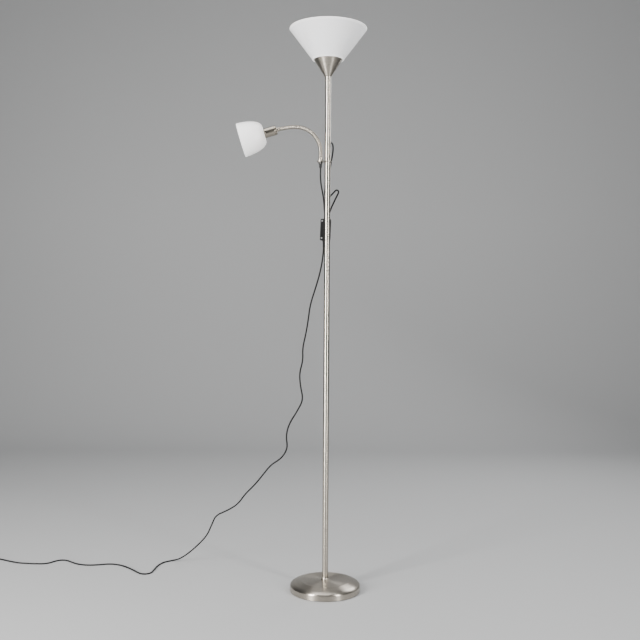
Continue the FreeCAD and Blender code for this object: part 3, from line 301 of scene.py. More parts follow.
# %% Material helpers
class Finish(Wiring):
    """A material under construction, with its Principled shader."""

    def __init__(self, name, colour, roughness, metallic=0.0, **settings):
        self.material = bpy.data.materials.new(name)
        self.material.use_nodes = True
        self.material.diffuse_color = (*colour, 1)
        super().__init__(self.material.node_tree)
        self.shader = self.tree.nodes["Principled BSDF"].inputs
        settings.update(Base_Color=(*colour, 1), Roughness=roughness, Metallic=metallic)
        for label, value in settings.items():
            self.feed(value, label.replace("_", " "))
        self.object_place = self.node("ShaderNodeTexCoord").outputs["Object"]

    def group(self, tree, place, **values):
        return self.node("ShaderNodeGroup", {"node_tree": tree}, Vector=place, **values).outputs

    def wear(self, patch_size, dust_amount):
        """The handling marks and the dust, of which every finish has its own measure."""
        return (self.group(handling, self.object_place, Patch_Size=patch_size),
                self.group(settled_dust, self.object_place, Amount=dust_amount)["Dust"])

    def spread(self, mask, low, high):
        """The mask's range 0.3 to 0.7 mapped to low..high."""
        return self.node("ShaderNodeMapRange", Value=mask, From_Min=0.3, From_Max=0.7,
                         To_Min=low, To_Max=high).outputs["Result"]

    def blend_colours(self, mask, first, second):
        """From first, a colour or a node's output, to the colour second."""
        start = (*first, 1) if isinstance(first, tuple) else first
        return self.node("ShaderNodeMix", {"data_type": "RGBA"}, Factor=mask, A=start,
                         B=(*second, 1)).outputs["Result"]

    def add(self, first, second):
        return self.math("ADD", first, second)

    def bump(self, height, distance, strength=0.5):
        node = self.node("ShaderNodeBump", Distance=distance, Strength=strength, Height=height)
        self.feed(node.outputs["Normal"], "Normal")

    def feed(self, value, label):
        self.give(self.shader[label], value)


def scaled(colour, factor):
    return tuple(factor * part for part in colour)


# %% [markdown]
# Satin nickel is the lamp's main finish: nickel plate on steel, polished on a lathe so that very
# fine lines run round it. The lines spread a reflection across themselves, which gives the pole
# its long clean highlights and fans them out on the cone and the base. The Principled shader
# does that with its anisotropy, along the tangent of the UV map that every turned piece has.

# %% Satin nickel
def satin_nickel(name, colour, roughness, spin, lines=3000.0):
    finish = Finish(name, colour, roughness, 1.0, Anisotropic=spin, Anisotropic_Rotation=0.25)
    tangent = finish.node("ShaderNodeTangent", {"direction_type": "UV_MAP", "uv_map": "turned"})
    finish.feed(tangent.outputs["Tangent"], "Tangent")
    uv_place = finish.node("ShaderNodeUVMap", {"uv_map": "turned"}).outputs["UV"]
    grain = finish.group(turned_grain, uv_place, Lines_per_Metre=lines)
    marks, dust = finish.wear(0.06, 0.10)
    tone = finish.spread(grain["Bands"], 0.0, 1.0)
    shade = finish.blend_colours(tone, scaled(colour, 0.90), colour)
    finish.feed(finish.blend_colours(dust, shade, (0.55, 0.53, 0.50)), "Base Color")
    rough = finish.spread(grain["Lines"], roughness - 0.03, roughness + 0.03)
    rough = finish.add(rough, finish.spread(marks["Smudge"], -0.015, 0.03))
    rough = finish.add(rough, finish.times(marks["Scratch"], 0.015))
    finish.feed(finish.add(rough, dust), "Roughness")
    finish.bump(grain["Lines"], 0.00002, 0.25)
    return finish.material


nickel_colour = (0.47, 0.430, 0.372)
pole_nickel = satin_nickel("satin_nickel_tube", nickel_colour, 0.24, spin=0.7)
spun_nickel = satin_nickel("satin_nickel_spun", nickel_colour, 0.27, spin=0.80)
small_nickel = satin_nickel("satin_nickel_small", nickel_colour, 0.24, spin=0.4, lines=6000.0)
# The reading cup's nickel is a darker copy of the lamp's nickel, painted shade; its lower roughness
# and spin are its own finish.
shaded_cup_nickel = satin_nickel("satin_nickel_cup", (0.40, 0.362, 0.305), 0.20, spin=0.5)

# %% [markdown]
# The neck's wire and the flat plate aren't turned, so their nickel has no spin, and the small
# steel, brass and cast pieces need none. These metals show their handling marks and dust. The
# neck's wire is a darker copy of the nickel, painted shade, and the nut under the plate is near
# black, painted shade and dark reflection.

# %% Plain metals
def drawn_metal(name, colour, roughness, patch=0.03, dust_amount=0.08):
    finish = Finish(name, colour, roughness, 1.0)
    marks, dust = finish.wear(patch, dust_amount)
    smudge = marks["Smudge"]
    shade = finish.blend_colours(finish.spread(smudge, 0.0, 1.0), scaled(colour, 0.86), colour)
    finish.feed(finish.blend_colours(dust, shade, (0.5, 0.48, 0.45)), "Base Color")
    rough = finish.spread(smudge, roughness + 0.05, roughness - 0.03)
    finish.feed(finish.add(rough, finish.times(marks["Scratch"], 0.03)), "Roughness")
    finish.bump(smudge, 0.00005, 0.2)
    return finish.material


# The neck's wire is a darker copy of the lamp's nickel: painted shade.
shaded_neck_nickel = drawn_metal("satin_nickel_wire", (0.43, 0.395, 0.345), 0.24)
plate_nickel = drawn_metal("satin_nickel_plate", nickel_colour, 0.30, 0.01)
# The nut's near-black colour is painted shade and dark reflection under the plate.
near_black_nut_metal = drawn_metal("black_nickel_nut", (0.06, 0.058, 0.055), 0.34, 0.01)
zinc_steel = drawn_metal("zinc_steel", (0.58, 0.59, 0.60), 0.38, 0.008)
brass_metal = drawn_metal("bright_brass", (0.80, 0.62, 0.30), 0.28, 0.006)
thread_metal = drawn_metal("bulb_cap_metal", (0.70, 0.70, 0.71), 0.32, 0.006)
cast_metal = drawn_metal("cast_weight_paint", (0.05, 0.05, 0.052), 0.65, 0.01)

# %% [markdown]
# The shades are milky white: light goes a little way into the wall and comes out softer, which
# subsurface scattering gives. A weak even emission paints a glow all over the wall, standing in
# for daylight through it, and at the free edges the shade's own "rim" attribute paints a
# highlight, raising colour and emission. The outer skin is smooth with a faint orange-peel
# ripple.

# %% Milky shades, glass and plastics
def milky_shade(name, colour, roughness, depth, painted_rim_glow=0.0, through=0.0):
    finish = Finish(name, colour, roughness, 0.0, Subsurface_Weight=0.6, Subsurface_Scale=depth,
                    Subsurface_Radius=(1.0, 0.97, 0.93), IOR=1.49, Coat_Weight=0.12,
                    Coat_Roughness=0.12, Sheen_Weight=0.6, Sheen_Roughness=0.25,
                    Emission_Strength=1.0)
    marks, dust = finish.wear(0.045, 0.12)
    smudge = marks["Smudge"]
    warmer = (colour[0], colour[1] * 0.985, colour[2] * 0.965)
    shade = finish.blend_colours(finish.spread(smudge, 0.0, 1.0), warmer, colour)
    dusty = finish.blend_colours(dust, shade, (0.74, 0.72, 0.69))
    # Painted light: an even glow all over, and a painted highlight at the rims, where the colour
    # goes to near white and the glow grows stronger.
    rim = finish.node("ShaderNodeAttribute", {"attribute_name": "rim"}).outputs["Fac"]
    finish.feed(finish.blend_colours(rim, dusty, (0.98, 0.98, 0.98)), "Base Color")
    finish.feed(finish.blend_colours(rim, (through,) * 3, (painted_rim_glow,) * 3), "Emission Color")
    rough = finish.spread(smudge, roughness - 0.04, roughness + 0.06)
    finish.feed(finish.add(rough, finish.times(dust, 2.0)), "Roughness")
    finish.bump(smudge, 0.0003, 0.15)
    return finish.material


def moulded_plastic(name, colour, roughness, grain_size, grain_depth, dust_amount=0.15, **settings):
    finish = Finish(name, colour, roughness, 0.0, **settings)
    grain = finish.group(moulded_grain, finish.object_place, Grain_Size=grain_size)
    marks, dust = finish.wear(0.02, dust_amount)
    lighter = tuple(min(1.0, 1.35 * part + 0.004) for part in colour)
    shade = finish.blend_colours(finish.spread(grain["Shade"], 0.0, 1.0), colour, lighter)
    dusty = tuple(0.5 * part + 0.25 for part in colour)
    finish.feed(finish.blend_colours(dust, shade, dusty), "Base Color")
    rough = finish.spread(marks["Smudge"], roughness - 0.06, roughness + 0.08)
    finish.feed(finish.add(rough, finish.times(marks["Scratch"], 0.1)), "Roughness")
    finish.bump(grain["Height"], grain_depth, 0.5)
    return finish.material


# Both shades glow with painted light, a little all over and more at their rims.
uplight_white = milky_shade("uplight_shade_white", (0.84, 0.85, 0.88), 0.34, 0.012,
                            painted_rim_glow=0.6, through=0.10)
reading_white = milky_shade("reading_shade_white", (0.95, 0.93, 0.925), 0.30, 0.012,
                            painted_rim_glow=0.6, through=0.34)
opal_glass = milky_shade("opal_bulb_glass", (0.90, 0.90, 0.89), 0.18, 0.008)
black_plastic = moulded_plastic("black_switch_plastic", (0.007, 0.007, 0.0075), 0.46, 0.0007,
                                0.00005, Specular_IOR_Level=0.25)
rocker_plastic = moulded_plastic("black_rocker_plastic", (0.006, 0.006, 0.0065), 0.26, 0.0012,
                                 0.00002)
holder_plastic = moulded_plastic("cream_holder_plastic", (0.80, 0.78, 0.73), 0.30, 0.001, 0.00002)
lead_rubber = moulded_plastic("black_lead_sheath", (0.006, 0.006, 0.0065), 0.48, 0.0016, 0.00004,
                              0.04, Specular_IOR_Level=0.15)
plug_rubber = moulded_plastic("black_plug_rubber", (0.009, 0.009, 0.009), 0.52, 0.0009, 0.00005)
tie_band = moulded_plastic("black_tie_band", (0.03, 0.03, 0.03), 0.55, 0.0005, 0.00003)
felt_pad = moulded_plastic("dark_felt", (0.03, 0.03, 0.032), 0.95, 0.0004, 0.0003,
                           Sheen_Weight=0.4)

# %% [markdown]
# Every piece goes through the helpers below: they make the object, smooth it except at real
# edges, hide the CAD nodes it stands for, and attach it to the body that it rides on.

# %% Piece helpers
def link_piece(name, mesh, material, crease=32.0):
    mesh.materials.clear()
    mesh.materials.append(material)
    mesh.shade_smooth()
    mesh.set_sharp_from_angle(angle=math.radians(crease))
    return new_object(name, mesh)


def slot_of(node):
    for row in frame["record"]["subparts"]:
        if row["node"] == node:
            return row["material_slot"]


def fit(piece, body, *nodes, slot=None):
    """The piece stands for these CAD nodes and moves with the body. The slot argument is not
    used."""
    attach(piece, body)
    if nodes:
        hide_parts(*nodes)
    print("%-26s %6d faces on %s" % (piece.name, len(piece.data.polygons), body))
    return piece


def keep_nodes(finishes):
    """CAD nodes that keep their shape and get a better finish."""
    for node, material in finishes.items():
        for material_slot in frame["nodes"][node].material_slots:
            material_slot.link = "OBJECT"
            material_slot.material = material


stand = "lamp_stand"
free_gap = 0.0003     # between parts that slip into or over each other
thread_gap = 0.00005  # between parts that screw or press together

# %% [markdown]
# Most of the lamp is turned or spun: tubes, cones, collars, the base, the bulbs. Such a piece is
# an outline of radius and height swept round an axis. The helper rounds the outline's corners a
# little, because a real edge always catches a thin line of light, and it lays out the UV map
# that the nickel's turning lines follow. The same could be done with a Screw modifier, but
# building the rings directly keeps the poles closed and the UV map exact.

# %% Turned pieces
on_axis = 1e-6        # a radius under this is the axis itself
same_point = 1e-7
holding = 1.5         # how far out a corner's holding ring lies, in corner widths


def arc_through(first, middle, last, steps):
    """Points of a smooth bow from first to last that passes through middle."""
    control = tuple(2 * m - (a + b) / 2 for a, m, b in zip(first, middle, last))
    return [tuple((1 - t) ** 2 * a + 2 * t * (1 - t) * c + t * t * b
                  for a, c, b in zip(first, control, last))
            for t in (step / steps for step in range(1, steps + 1))]


def softened(outline, corner, steps=3, closed=True, least_turn=9.5):
    """The outline with its sharp corners rounded. A ring on each side of a corner holds the
    faces beside it flat, so that smooth shading doesn't smear the corner over them."""
    result = []
    count = len(outline)
    for index, point in enumerate(outline):
        here = Vector(point)
        before = Vector(outline[index - 1])
        after = Vector(outline[(index + 1) % count])
        back, ahead = before - here, after - here
        on_end = not closed and index in (0, count - 1)
        plain = on_end or point[0] < on_axis or min(back.length, ahead.length) < same_point
        if plain or math.degrees((-back).angle(ahead)) < least_turn:
            result.append(tuple(here))
            continue
        cut = min(corner, 0.3 * back.length, 0.3 * ahead.length)
        back.normalize()
        ahead.normalize()
        result.append(tuple(here + back * cut * holding))
        for step in range(steps + 1):
            t = step / steps
            spot = ((here + back * cut) * (1 - t) ** 2 + here * 2 * t * (1 - t)
                    + (here + ahead * cut) * t * t)
            result.append(tuple(spot))
        result.append(tuple(here + ahead * cut * holding))
    return result


def turned_mesh(name, outline, place=Matrix.Identity(4), steps=96):
    """A mesh swept about Z. An outline that starts and ends on the axis gets closed poles."""
    capped = outline[0][0] < on_axis
    rings, verts, along = [], [], [0.0]
    for radius, height in outline:
        if radius < on_axis:
            rings.append([len(verts)] * steps)
            verts.append((0.0, 0.0, height))
            continue
        rings.append(list(range(len(verts), len(verts) + steps)))
        for step in range(steps):
            angle = 2 * math.pi * step / steps
            verts.append((radius * math.cos(angle), radius * math.sin(angle), height))
    for first, second in zip(outline, outline[1:] + outline[:1]):
        along.append(along[-1] + math.dist(first, second))
    faces, uvs = [], []
    spans = len(outline) - (1 if capped else 0)
    for row in range(spans):
        low, high = rings[row], rings[(row + 1) % len(rings)]
        for step in range(steps):
            ahead = (step + 1) % steps
            corners = [(low[step], step, row), (low[ahead], step + 1, row),
                       (high[ahead], step + 1, row + 1), (high[step], step, row + 1)]
            kept = [corner for index, corner in enumerate(corners)
                    if all(corner[0] != other[0] for other in corners[:index])]
            if len(kept) > 2:
                faces.append([corner[0] for corner in kept])
                uvs += [(corner[1] / steps, along[corner[2]]) for corner in kept]
    mesh = bpy.data.meshes.new(name)
    mesh.from_pydata(verts, [], faces)
    layer = mesh.uv_layers.new(name="turned")
    for loop, uv in zip(layer.data, uvs):
        loop.uv = uv
    face_outwards(mesh)
    mesh.transform(place)
    return mesh


def face_outwards(mesh):
    """A closed mesh whose faces point inwards has a volume below zero, and is turned round."""
    check = bmesh.new()
    check.from_mesh(mesh)
    inside_out = check.calc_volume(signed=True) < 0
    check.free()
    if inside_out:
        mesh.flip_normals()


def turned_piece(name, outline, material, body, node, corner=0.0003, place=Matrix.Identity(4),
                 steps=96, crease=32.0, slot=None):
    """A turned piece in place of one CAD node, or of none if it only adds to another piece."""
    closed = outline[0][0] > on_axis
    mesh = turned_mesh(name, softened(outline, corner, closed=closed), place, steps)
    nodes = [node] if node else []
    return fit(link_piece(name, mesh, material, crease), body, *nodes, slot=slot)


# %% [markdown]
# The base is a steel cover spun over a cast weight: an upright skirt, a soft shoulder and a
# nearly flat deck that rises to the pole. Its edge is rolled, and a felt pad under it keeps it
# just off the floor, which is the thin dark line in the photograph.

# %% Base cover and foot collar
base_low, base_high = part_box("base_cover")
base_radius = base_high.x
base_sheet = 0.0012
skirt_top = 0.0172
shoulder = (base_radius - 0.0125, base_high.z - 0.007)
deck_edge = (base_radius - 0.0345, base_high.z - 0.0012)
collar_low, collar_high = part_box("pole_foot_collar")
collar_radius = collar_high.x
pole_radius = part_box("pole_section_1")[1].x
bolt_hole = 0.0055

cover = [(base_radius - base_sheet, base_low.z), (base_radius, base_low.z),
         (base_radius, skirt_top)]
cover += arc_through(cover[-1], (base_radius - 0.0036, skirt_top + 0.0056), shoulder, 14)
cover += [deck_edge, (collar_radius, base_high.z), (bolt_hole, base_high.z),
          (bolt_hole, base_high.z - base_sheet), (collar_radius, base_high.z - base_sheet),
          (deck_edge[0], deck_edge[1] - base_sheet),
          (shoulder[0] - 0.001, shoulder[1] - base_sheet),
          (base_radius - base_sheet, skirt_top)]
turned_piece("base_cover_spun", cover, spun_nickel, stand, "base_cover", 0.0004, steps=160)

collar = [(pole_radius + thread_gap, collar_low.z), (collar_radius, collar_low.z),
          (collar_radius, collar_low.z + 0.003)]
collar += arc_through(collar[-1], (collar_radius - 0.0016, collar_low.z + 0.0046),
                      (pole_radius + 0.0009, collar_high.z - 0.0004), 5)
collar += [(pole_radius + 0.0006, collar_high.z), (pole_radius + thread_gap, collar_high.z)]
turned_piece("pole_foot_collar_turned", collar, small_nickel, stand, "pole_foot_collar", 0.0002)

keep_nodes({"base_weight": cast_metal, "base_felt_pad": felt_pad, "base_bolt": zinc_steel})

# %% [markdown]
# The pole comes in four lengths of tube that screw together. Each end is cut square with its
# burr taken off, so a joint shows only as a hairline.

# %% Pole
pole_bore = pole_radius - 0.001
for number in range(1, 5):
    node = "pole_section_%d" % number
    low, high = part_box(node)
    tube = [(pole_bore, low.z), (pole_radius, low.z), (pole_radius, high.z), (pole_bore, high.z)]
    turned_piece("pole_tube_%d" % number, tube, pole_nickel, stand, node, 0.0002, steps=64)
keep_nodes({"pole_bushes": zinc_steel, "pole_studs": zinc_steel, "pole_grommet": plug_rubber})

# %% [markdown]
# Uplighter: a spun cone carries the lampholder, and the milky shade stands on its rim with a
# short lip outside it. The holder, its ring and the bulb can only be seen from above.

# %% Uplighter cup, holder and bulb
cup_low, cup_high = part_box("shade_cup")
cup_radius = cup_high.x
cup_wall = 0.0013
cup_foot = 0.011
cup_floor = 0.003
thread_bore = 0.00505
main_sleeve = 0.0194
cup_lean = (cup_radius - cup_foot) / (cup_high.z - cup_low.z)
cup = [(thread_bore, cup_low.z), (cup_foot, cup_low.z), (cup_radius, cup_high.z),
       (cup_radius - cup_wall, cup_high.z),
       (cup_foot + cup_lean * cup_floor - cup_wall, cup_low.z + cup_floor),
       (thread_bore, cup_low.z + cup_floor)]
turned_piece("uplight_cup_spun", cup, spun_nickel, stand, "shade_cup", 0.0003, steps=128)


def holder_outline(bottom, radius, flange_bottom, flange_radius, rim, sleeve_radius, top, socket,
                   seat):
    """A lampholder: a stem, a flange up to the cup's rim, and a sleeve with a socket in it."""
    return [(0, bottom), (radius, bottom), (radius, flange_bottom), (flange_radius, flange_bottom),
            (flange_radius, rim), (sleeve_radius, rim), (sleeve_radius, top), (socket, top),
            (socket, seat), (0, seat)]


holder_low, holder_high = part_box("main_holder_body")
main_socket = 0.0146
main_holder = holder_outline(
    bottom=holder_low.z, radius=0.020, flange_bottom=cup_high.z - 0.003, flange_radius=0.023,
    rim=cup_high.z, sleeve_radius=main_sleeve, top=holder_high.z, socket=main_socket,
    seat=holder_low.z + 0.003)
turned_piece("uplight_holder", main_holder, holder_plastic, stand, "main_holder_body", 0.0005)


def bulb_outline(radius, cap_radius, bottom, top):
    """A pear: a narrow neck that swells into a round end."""
    centre = top - radius
    rise = centre - bottom
    outline = [(0, bottom), (cap_radius * 0.98, bottom)]
    outline += arc_through(outline[-1], (cap_radius * 1.22, bottom + rise * 0.32),
                           (radius * 0.80, bottom + rise * 0.62), 6)
    outline += arc_through(outline[-1], (radius * 0.955, bottom + rise * 0.84), (radius, centre),
                           5)
    outline += [(radius * math.cos(angle), centre + radius * math.sin(angle))
                for angle in arc_angles(16, 1)[:-1]]
    return outline + [(0, top)]


globe_low, globe_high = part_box("main_bulb_globe")
main_cap_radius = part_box("main_bulb_cap")[1].x
main_globe = bulb_outline(globe_high.x, main_cap_radius, globe_low.z, globe_high.z)
turned_piece("uplight_bulb_globe", main_globe, opal_glass, stand, "main_bulb_globe", 0.0001,
             crease=60.0)
keep_nodes({"cup_nipple": zinc_steel, "cup_lock_nut": zinc_steel,
            "main_holder_cap": holder_plastic, "main_screw_shell": brass_metal,
            "main_centre_contact": brass_metal, "main_bulb_cap": thread_metal})

# %% [markdown]
# The two shades are the pieces whose shape follows one rule all over: a wall of even thickness
# turned about an axis. Geometry Nodes make them, so that their roundness, place and finish stay
# inputs. The tree lays a grid, one row for each point of the outline and one column for each
# step round, looks up the outline's radius and height for each row, and rolls the grid into a
# closed shell.

# %% Geometry Nodes helpers
def geometry_tree(name, inputs):
    """A tree of geometry nodes whose last input is the finish of what it makes."""
    return node_tree(name, "GeometryNodeTree", [("Geometry", "Geometry", None), *inputs,
                                                ("Finish", "Material", None)],
                     [("Geometry", "Geometry")])


def grow(name, source, tree, values, material, crease=32.0):
    """Run a tree on a source object with named values, and keep the result as a plain mesh."""
    source_object = new_object(name + "_source", source)
    modifier = source_object.modifiers.new("grow", "NODES")
    modifier.node_group = tree
    places = {item.name: item.identifier for item in tree.interface.items_tree
              if item.item_type == "SOCKET" and item.in_out == "INPUT"}
    for label, value in {**values, "Finish": material}.items():
        modifier[places[label]] = value
    mesh = evaluated_mesh(source_object)
    mesh.name = name
    bpy.data.objects.remove(source_object)
    face_outwards(mesh)
    return link_piece(name, mesh, material, crease)


def points_mesh(name, points):
    """A mesh of loose points, for a tree to work on."""
    mesh = bpy.data.meshes.new(name)
    mesh.from_pydata([tuple(point) for point in points], [], [])
    return mesh


# %% The turned wall tree
def make_turned_wall_tree():
    w, given, output = geometry_tree("turned wall", [
        ("Steps Round", "Int", 128), ("Centre", "Vector", None), ("Tilt", "Vector", None)])
    points = w.node("GeometryNodeAttributeDomainSize", Geometry=given["Geometry"])
    count = points.outputs["Point Count"]
    rows = w.math("ADD", count, 1.0)
    columns = w.math("ADD", given["Steps Round"], 1.0)
    grid = w.node("GeometryNodeMeshGrid", Size_X=1.0, Size_Y=1.0, Vertices_X=columns,
                  Vertices_Y=rows)
    spot = w.node("ShaderNodeSeparateXYZ", Vector=w.node("GeometryNodeInputPosition").outputs[0])
    angle = w.times(w.math("ADD", spot.outputs["X"], 0.5), 2 * math.pi)
    row = w.math("ROUND", w.times(w.math("ADD", spot.outputs["Y"], 0.5), count))
    index = w.math("MODULO", row, count)
    look_up = w.node("GeometryNodeSampleIndex", {"data_type": "FLOAT_VECTOR", "domain": "POINT"},
                     Geometry=given["Geometry"], Index=index,
                     Value=w.node("GeometryNodeInputPosition").outputs[0])
    profile = w.node("ShaderNodeSeparateXYZ", Vector=look_up.outputs[0])
    place = w.node("ShaderNodeCombineXYZ",
                   X=w.times(profile.outputs["X"], w.math("COSINE", angle)),
                   Y=w.times(profile.outputs["X"], w.math("SINE", angle)),
                   Z=profile.outputs["Z"])
    # The outline's rim weights ride along onto the shell: they mark where the shade's material
    # paints its highlight and glow.
    painted_rim_source = w.node("GeometryNodeInputNamedAttribute", {"data_type": "FLOAT"}, Name="rim")
    rim = w.node("GeometryNodeSampleIndex", {"data_type": "FLOAT", "domain": "POINT"},
                 Geometry=given["Geometry"], Value=painted_rim_source.outputs[0], Index=index)
    marked = w.node("GeometryNodeStoreNamedAttribute", {"data_type": "FLOAT", "domain": "POINT"},
                    Geometry=grid.outputs["Mesh"], Name="rim", Value=rim.outputs[0])
    rolled = w.node("GeometryNodeSetPosition", Geometry=marked.outputs[0],
                    Position=place.outputs[0])
    shell = w.node("GeometryNodeMergeByDistance", Geometry=rolled.outputs[0], Distance=1e-6)
    placed = w.node("GeometryNodeTransform", Geometry=shell.outputs[0], Translation=given["Centre"],
                    Rotation=given["Tilt"])
    return w.close(placed.outputs[0], given["Finish"], output)


turned_wall = make_turned_wall_tree()


def turned_wall_piece(name, outline, material, body, node, rims, centre=(0, 0, 0), tilt=(0, 0, 0)):
    """rims lists the heights of the wall's free edges and how far the painted rim highlight reaches
    in from each.
    """
    source = points_mesh(name + "_outline", [(radius, 0, height) for radius, height in outline])
    # Weights for the painted rim highlight, one for each point of the outline.
    painted_rim_weights = source.attributes.new("rim", "FLOAT", "POINT")
    for item, (radius, height) in zip(painted_rim_weights.data, outline):
        item.value = max(max(0.0, 1.0 - abs(height - edge) / reach) for edge, reach in rims)
    piece = grow(name, source, turned_wall, {"Steps Round": 160, "Centre": centre, "Tilt": tilt},
                 material, 50.0)
    return fit(piece, body, node)


# %% Uplighter shade
shade_low, shade_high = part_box("main_shade")
shade_radius = shade_high.x
lip_bottom = shade_low.z
rim = cup_high.z
shade_wall = 0.0024
sleeve_hole = main_sleeve + free_gap
lip_outer = 0.0494
shade_slope = (shade_radius - lip_outer) / (shade_high.z - lip_bottom)
across_wall = shade_wall * math.sqrt(1 + shade_slope ** 2)
floor_top = rim + shade_wall
inner_floor = lip_outer + shade_slope * (floor_top - lip_bottom) - across_wall
edge = 0.0006
main_shade_outline = softened([
    (sleeve_hole, rim), (cup_radius + free_gap, rim), (cup_radius + free_gap, lip_bottom),
    (lip_outer, lip_bottom), (lip_outer + 0.004 * shade_slope, lip_bottom + 0.004),
    (shade_radius - 0.006 * shade_slope, shade_high.z - 0.006),
    (shade_radius - edge * shade_slope, shade_high.z - edge),
    (shade_radius - across_wall * 0.3, shade_high.z),
    (shade_radius - across_wall * 0.8, shade_high.z),
    (shade_radius - across_wall - edge * shade_slope, shade_high.z - edge),
    (inner_floor, floor_top), (sleeve_hole, floor_top)], 0.0008, 4)
# The top edge and the lip get the painted rim highlight, reaching 6 and 4 mm in.
turned_wall_piece("uplight_shade", main_shade_outline, uplight_white, stand, "main_shade",
                  [(shade_high.z, 0.006), (lip_bottom, 0.004)])

# %% [markdown]
# The flexible neck. The real one is a length of steel wire wound edge to edge, so it bends
# anywhere and stays there. The CAD model tilts seven stiff links about six points, which is
# right for motion but not for the eye. Here each stretch from the middle of one link to the
# middle of the next is wound by Geometry Nodes round the neck's own centre line, so that the
# winding runs on without a break.

# %% Neck centre line
plate_low, plate_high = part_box("arm_plate")
plate_top = plate_high.z
neck_offset = 0.0225
neck_rise = 0.029
bend_radius = 0.080
bend_angle = math.radians(92.0)
tail_radius = 0.230
tail_angle = math.radians(14.7)
ferrule_length = 0.010
link_count = 7
neck_length = neck_rise + bend_radius * bend_angle + tail_radius * tail_angle
link_length = (neck_length - 2 * ferrule_length) / link_count


def neck_station(distance):
    """The point of the neck's centre line at a distance from the plate, and its heading."""
    x, z, turn = -neck_offset, plate_top, 0.0
    if distance > neck_rise:
        turn = min(distance - neck_rise, bend_radius * bend_angle) / bend_radius
        x -= bend_radius * (1 - math.cos(turn))
        z += neck_rise + bend_radius * math.sin(turn)
        rest = distance - neck_rise - bend_radius * bend_angle
        if rest > 0:
            last = turn + rest / tail_radius
            x -= tail_radius * (math.cos(turn) - math.cos(last))
            z += tail_radius * (math.sin(last) - math.sin(turn))
            turn = last
    else:
        z += distance
    return Vector((x, 0, z)), Vector((-math.sin(turn), 0, math.cos(turn)))


head_origin, head_direction = neck_station(neck_length)
print("neck %.1f mm long, head at" % (neck_length * 1000), tuple(head_origin))


# %% The wound wire tree
def make_wound_wire_tree():
    w, given, output = geometry_tree("wound wire", [
        ("Turns", "Float", 12.0), ("Coil Radius", "Float", 0.005), ("Wire Radius", "Float", 0.001),
        ("Steps per Turn", "Float", 24.0), ("Side", "Vector", None)])
    count = w.math("ADD", w.times(given["Turns"], given["Steps per Turn"]), 1.0)
    line = w.node("GeometryNodeResampleCurve", Curve=given["Geometry"], Count=count)
    share = w.node("GeometryNodeSplineParameter").outputs["Factor"]
    angle = w.times(w.times(share, given["Turns"]), 2 * math.pi)
    heading = w.node("GeometryNodeInputTangent").outputs[0]
    across = w.vector("CROSS_PRODUCT", heading, given["Side"])
    swing = w.vector("ADD", w.vector("SCALE", given["Side"], scale=w.math("COSINE", angle)),
                     w.vector("SCALE", across, scale=w.math("SINE", angle)))
    offset = w.vector("SCALE", swing, scale=given["Coil Radius"])
    wound = w.node("GeometryNodeSetPosition", Geometry=line.outputs[0], Offset=offset)
    section = w.node("GeometryNodeCurvePrimitiveCircle", Resolution=8,
                     Radius=given["Wire Radius"])
    wire = w.node("GeometryNodeCurveToMesh", Curve=wound.outputs[0], Fill_Caps=True)
    w.give(wire.inputs["Profile Curve"], section.outputs["Curve"])
    return w.close(wire.outputs[0], given["Finish"], output)


wound_wire = make_wound_wire_tree()
neck_radius = 0.0064
turns_per_link = 20
overlap = 1.3         # of the wire's thickness over the pitch, so that no light shows through
wire_radius = 0.5 * link_length / turns_per_link * overlap


def neck_curve(name, start, end, steps=28):
    curve = bpy.data.curves.new(name, "CURVE")
    curve.dimensions = "3D"
    spline = curve.splines.new("POLY")
    spline.points.add(steps)
    for step in range(steps + 1):
        place, heading = neck_station(start + (end - start) * step / steps)
        spline.points[step].co = (*place, 1)
    return curve


def wind_neck(name, start, end):
    """The neck's wire from one distance to another along the centre line, in whole turns."""
    turns = round(turns_per_link * (end - start) / link_length)
    return grow(name, neck_curve(name + "_line", start, end), wound_wire,
                {"Turns": float(turns), "Coil Radius": neck_radius - wire_radius,
                 "Wire Radius": wire_radius, "Steps per Turn": 18.0, "Side": (0.0, 1.0, 0.0)},
                shaded_neck_nickel, 80.0)


# %% Wind the neck
first_middle = ferrule_length + link_length / 2
fit(wind_neck("neck_winding_root", ferrule_length, first_middle), "arm", "neck_link_1")
for hinge in range(link_count - 1):
    start = first_middle + hinge * link_length
    winding = wind_neck("neck_winding_%d" % (hinge + 1), start, start + link_length)
    neck_station(start + link_length)[0]
    neck_station(start)[0]
    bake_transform(winding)
    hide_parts("neck_link_%d" % (hinge + 2))
tip_winding = wind_neck("neck_winding_tip", neck_length - ferrule_length - link_length / 2,
                        neck_length - ferrule_length)
fit(tip_winding, "head", slot="nickel_plate")

# %% [markdown]
# The arm plate is a flat steel piece with round ends, clamped between two pole sections. The
# neck's end stands on it, a hex nut holds it from below, and a black bush guides the lead out.

# %% Arm plate, nut, ferrule and bush
overrun = 0.005       # how far a cutter reaches past what it cuts
stud_hole = 0.0051
thread_radius = 0.004
thread_hole = thread_radius + thread_gap
wire_bore = 0.0027


def bevelled(mesh, width, segments=2, angle=30.0):
    """The mesh with its sharp edges rounded by a Bevel modifier, which is then applied."""
    carrier = new_object("bevel_carrier", mesh)
    modifier = carrier.modifiers.new("bevel", "BEVEL")
    modifier.width = width
    modifier.segments = segments
    modifier.limit_method = "ANGLE"
    modifier.angle_limit = math.radians(angle)
    result = evaluated_mesh(carrier)
    bpy.data.objects.remove(carrier)
    return result


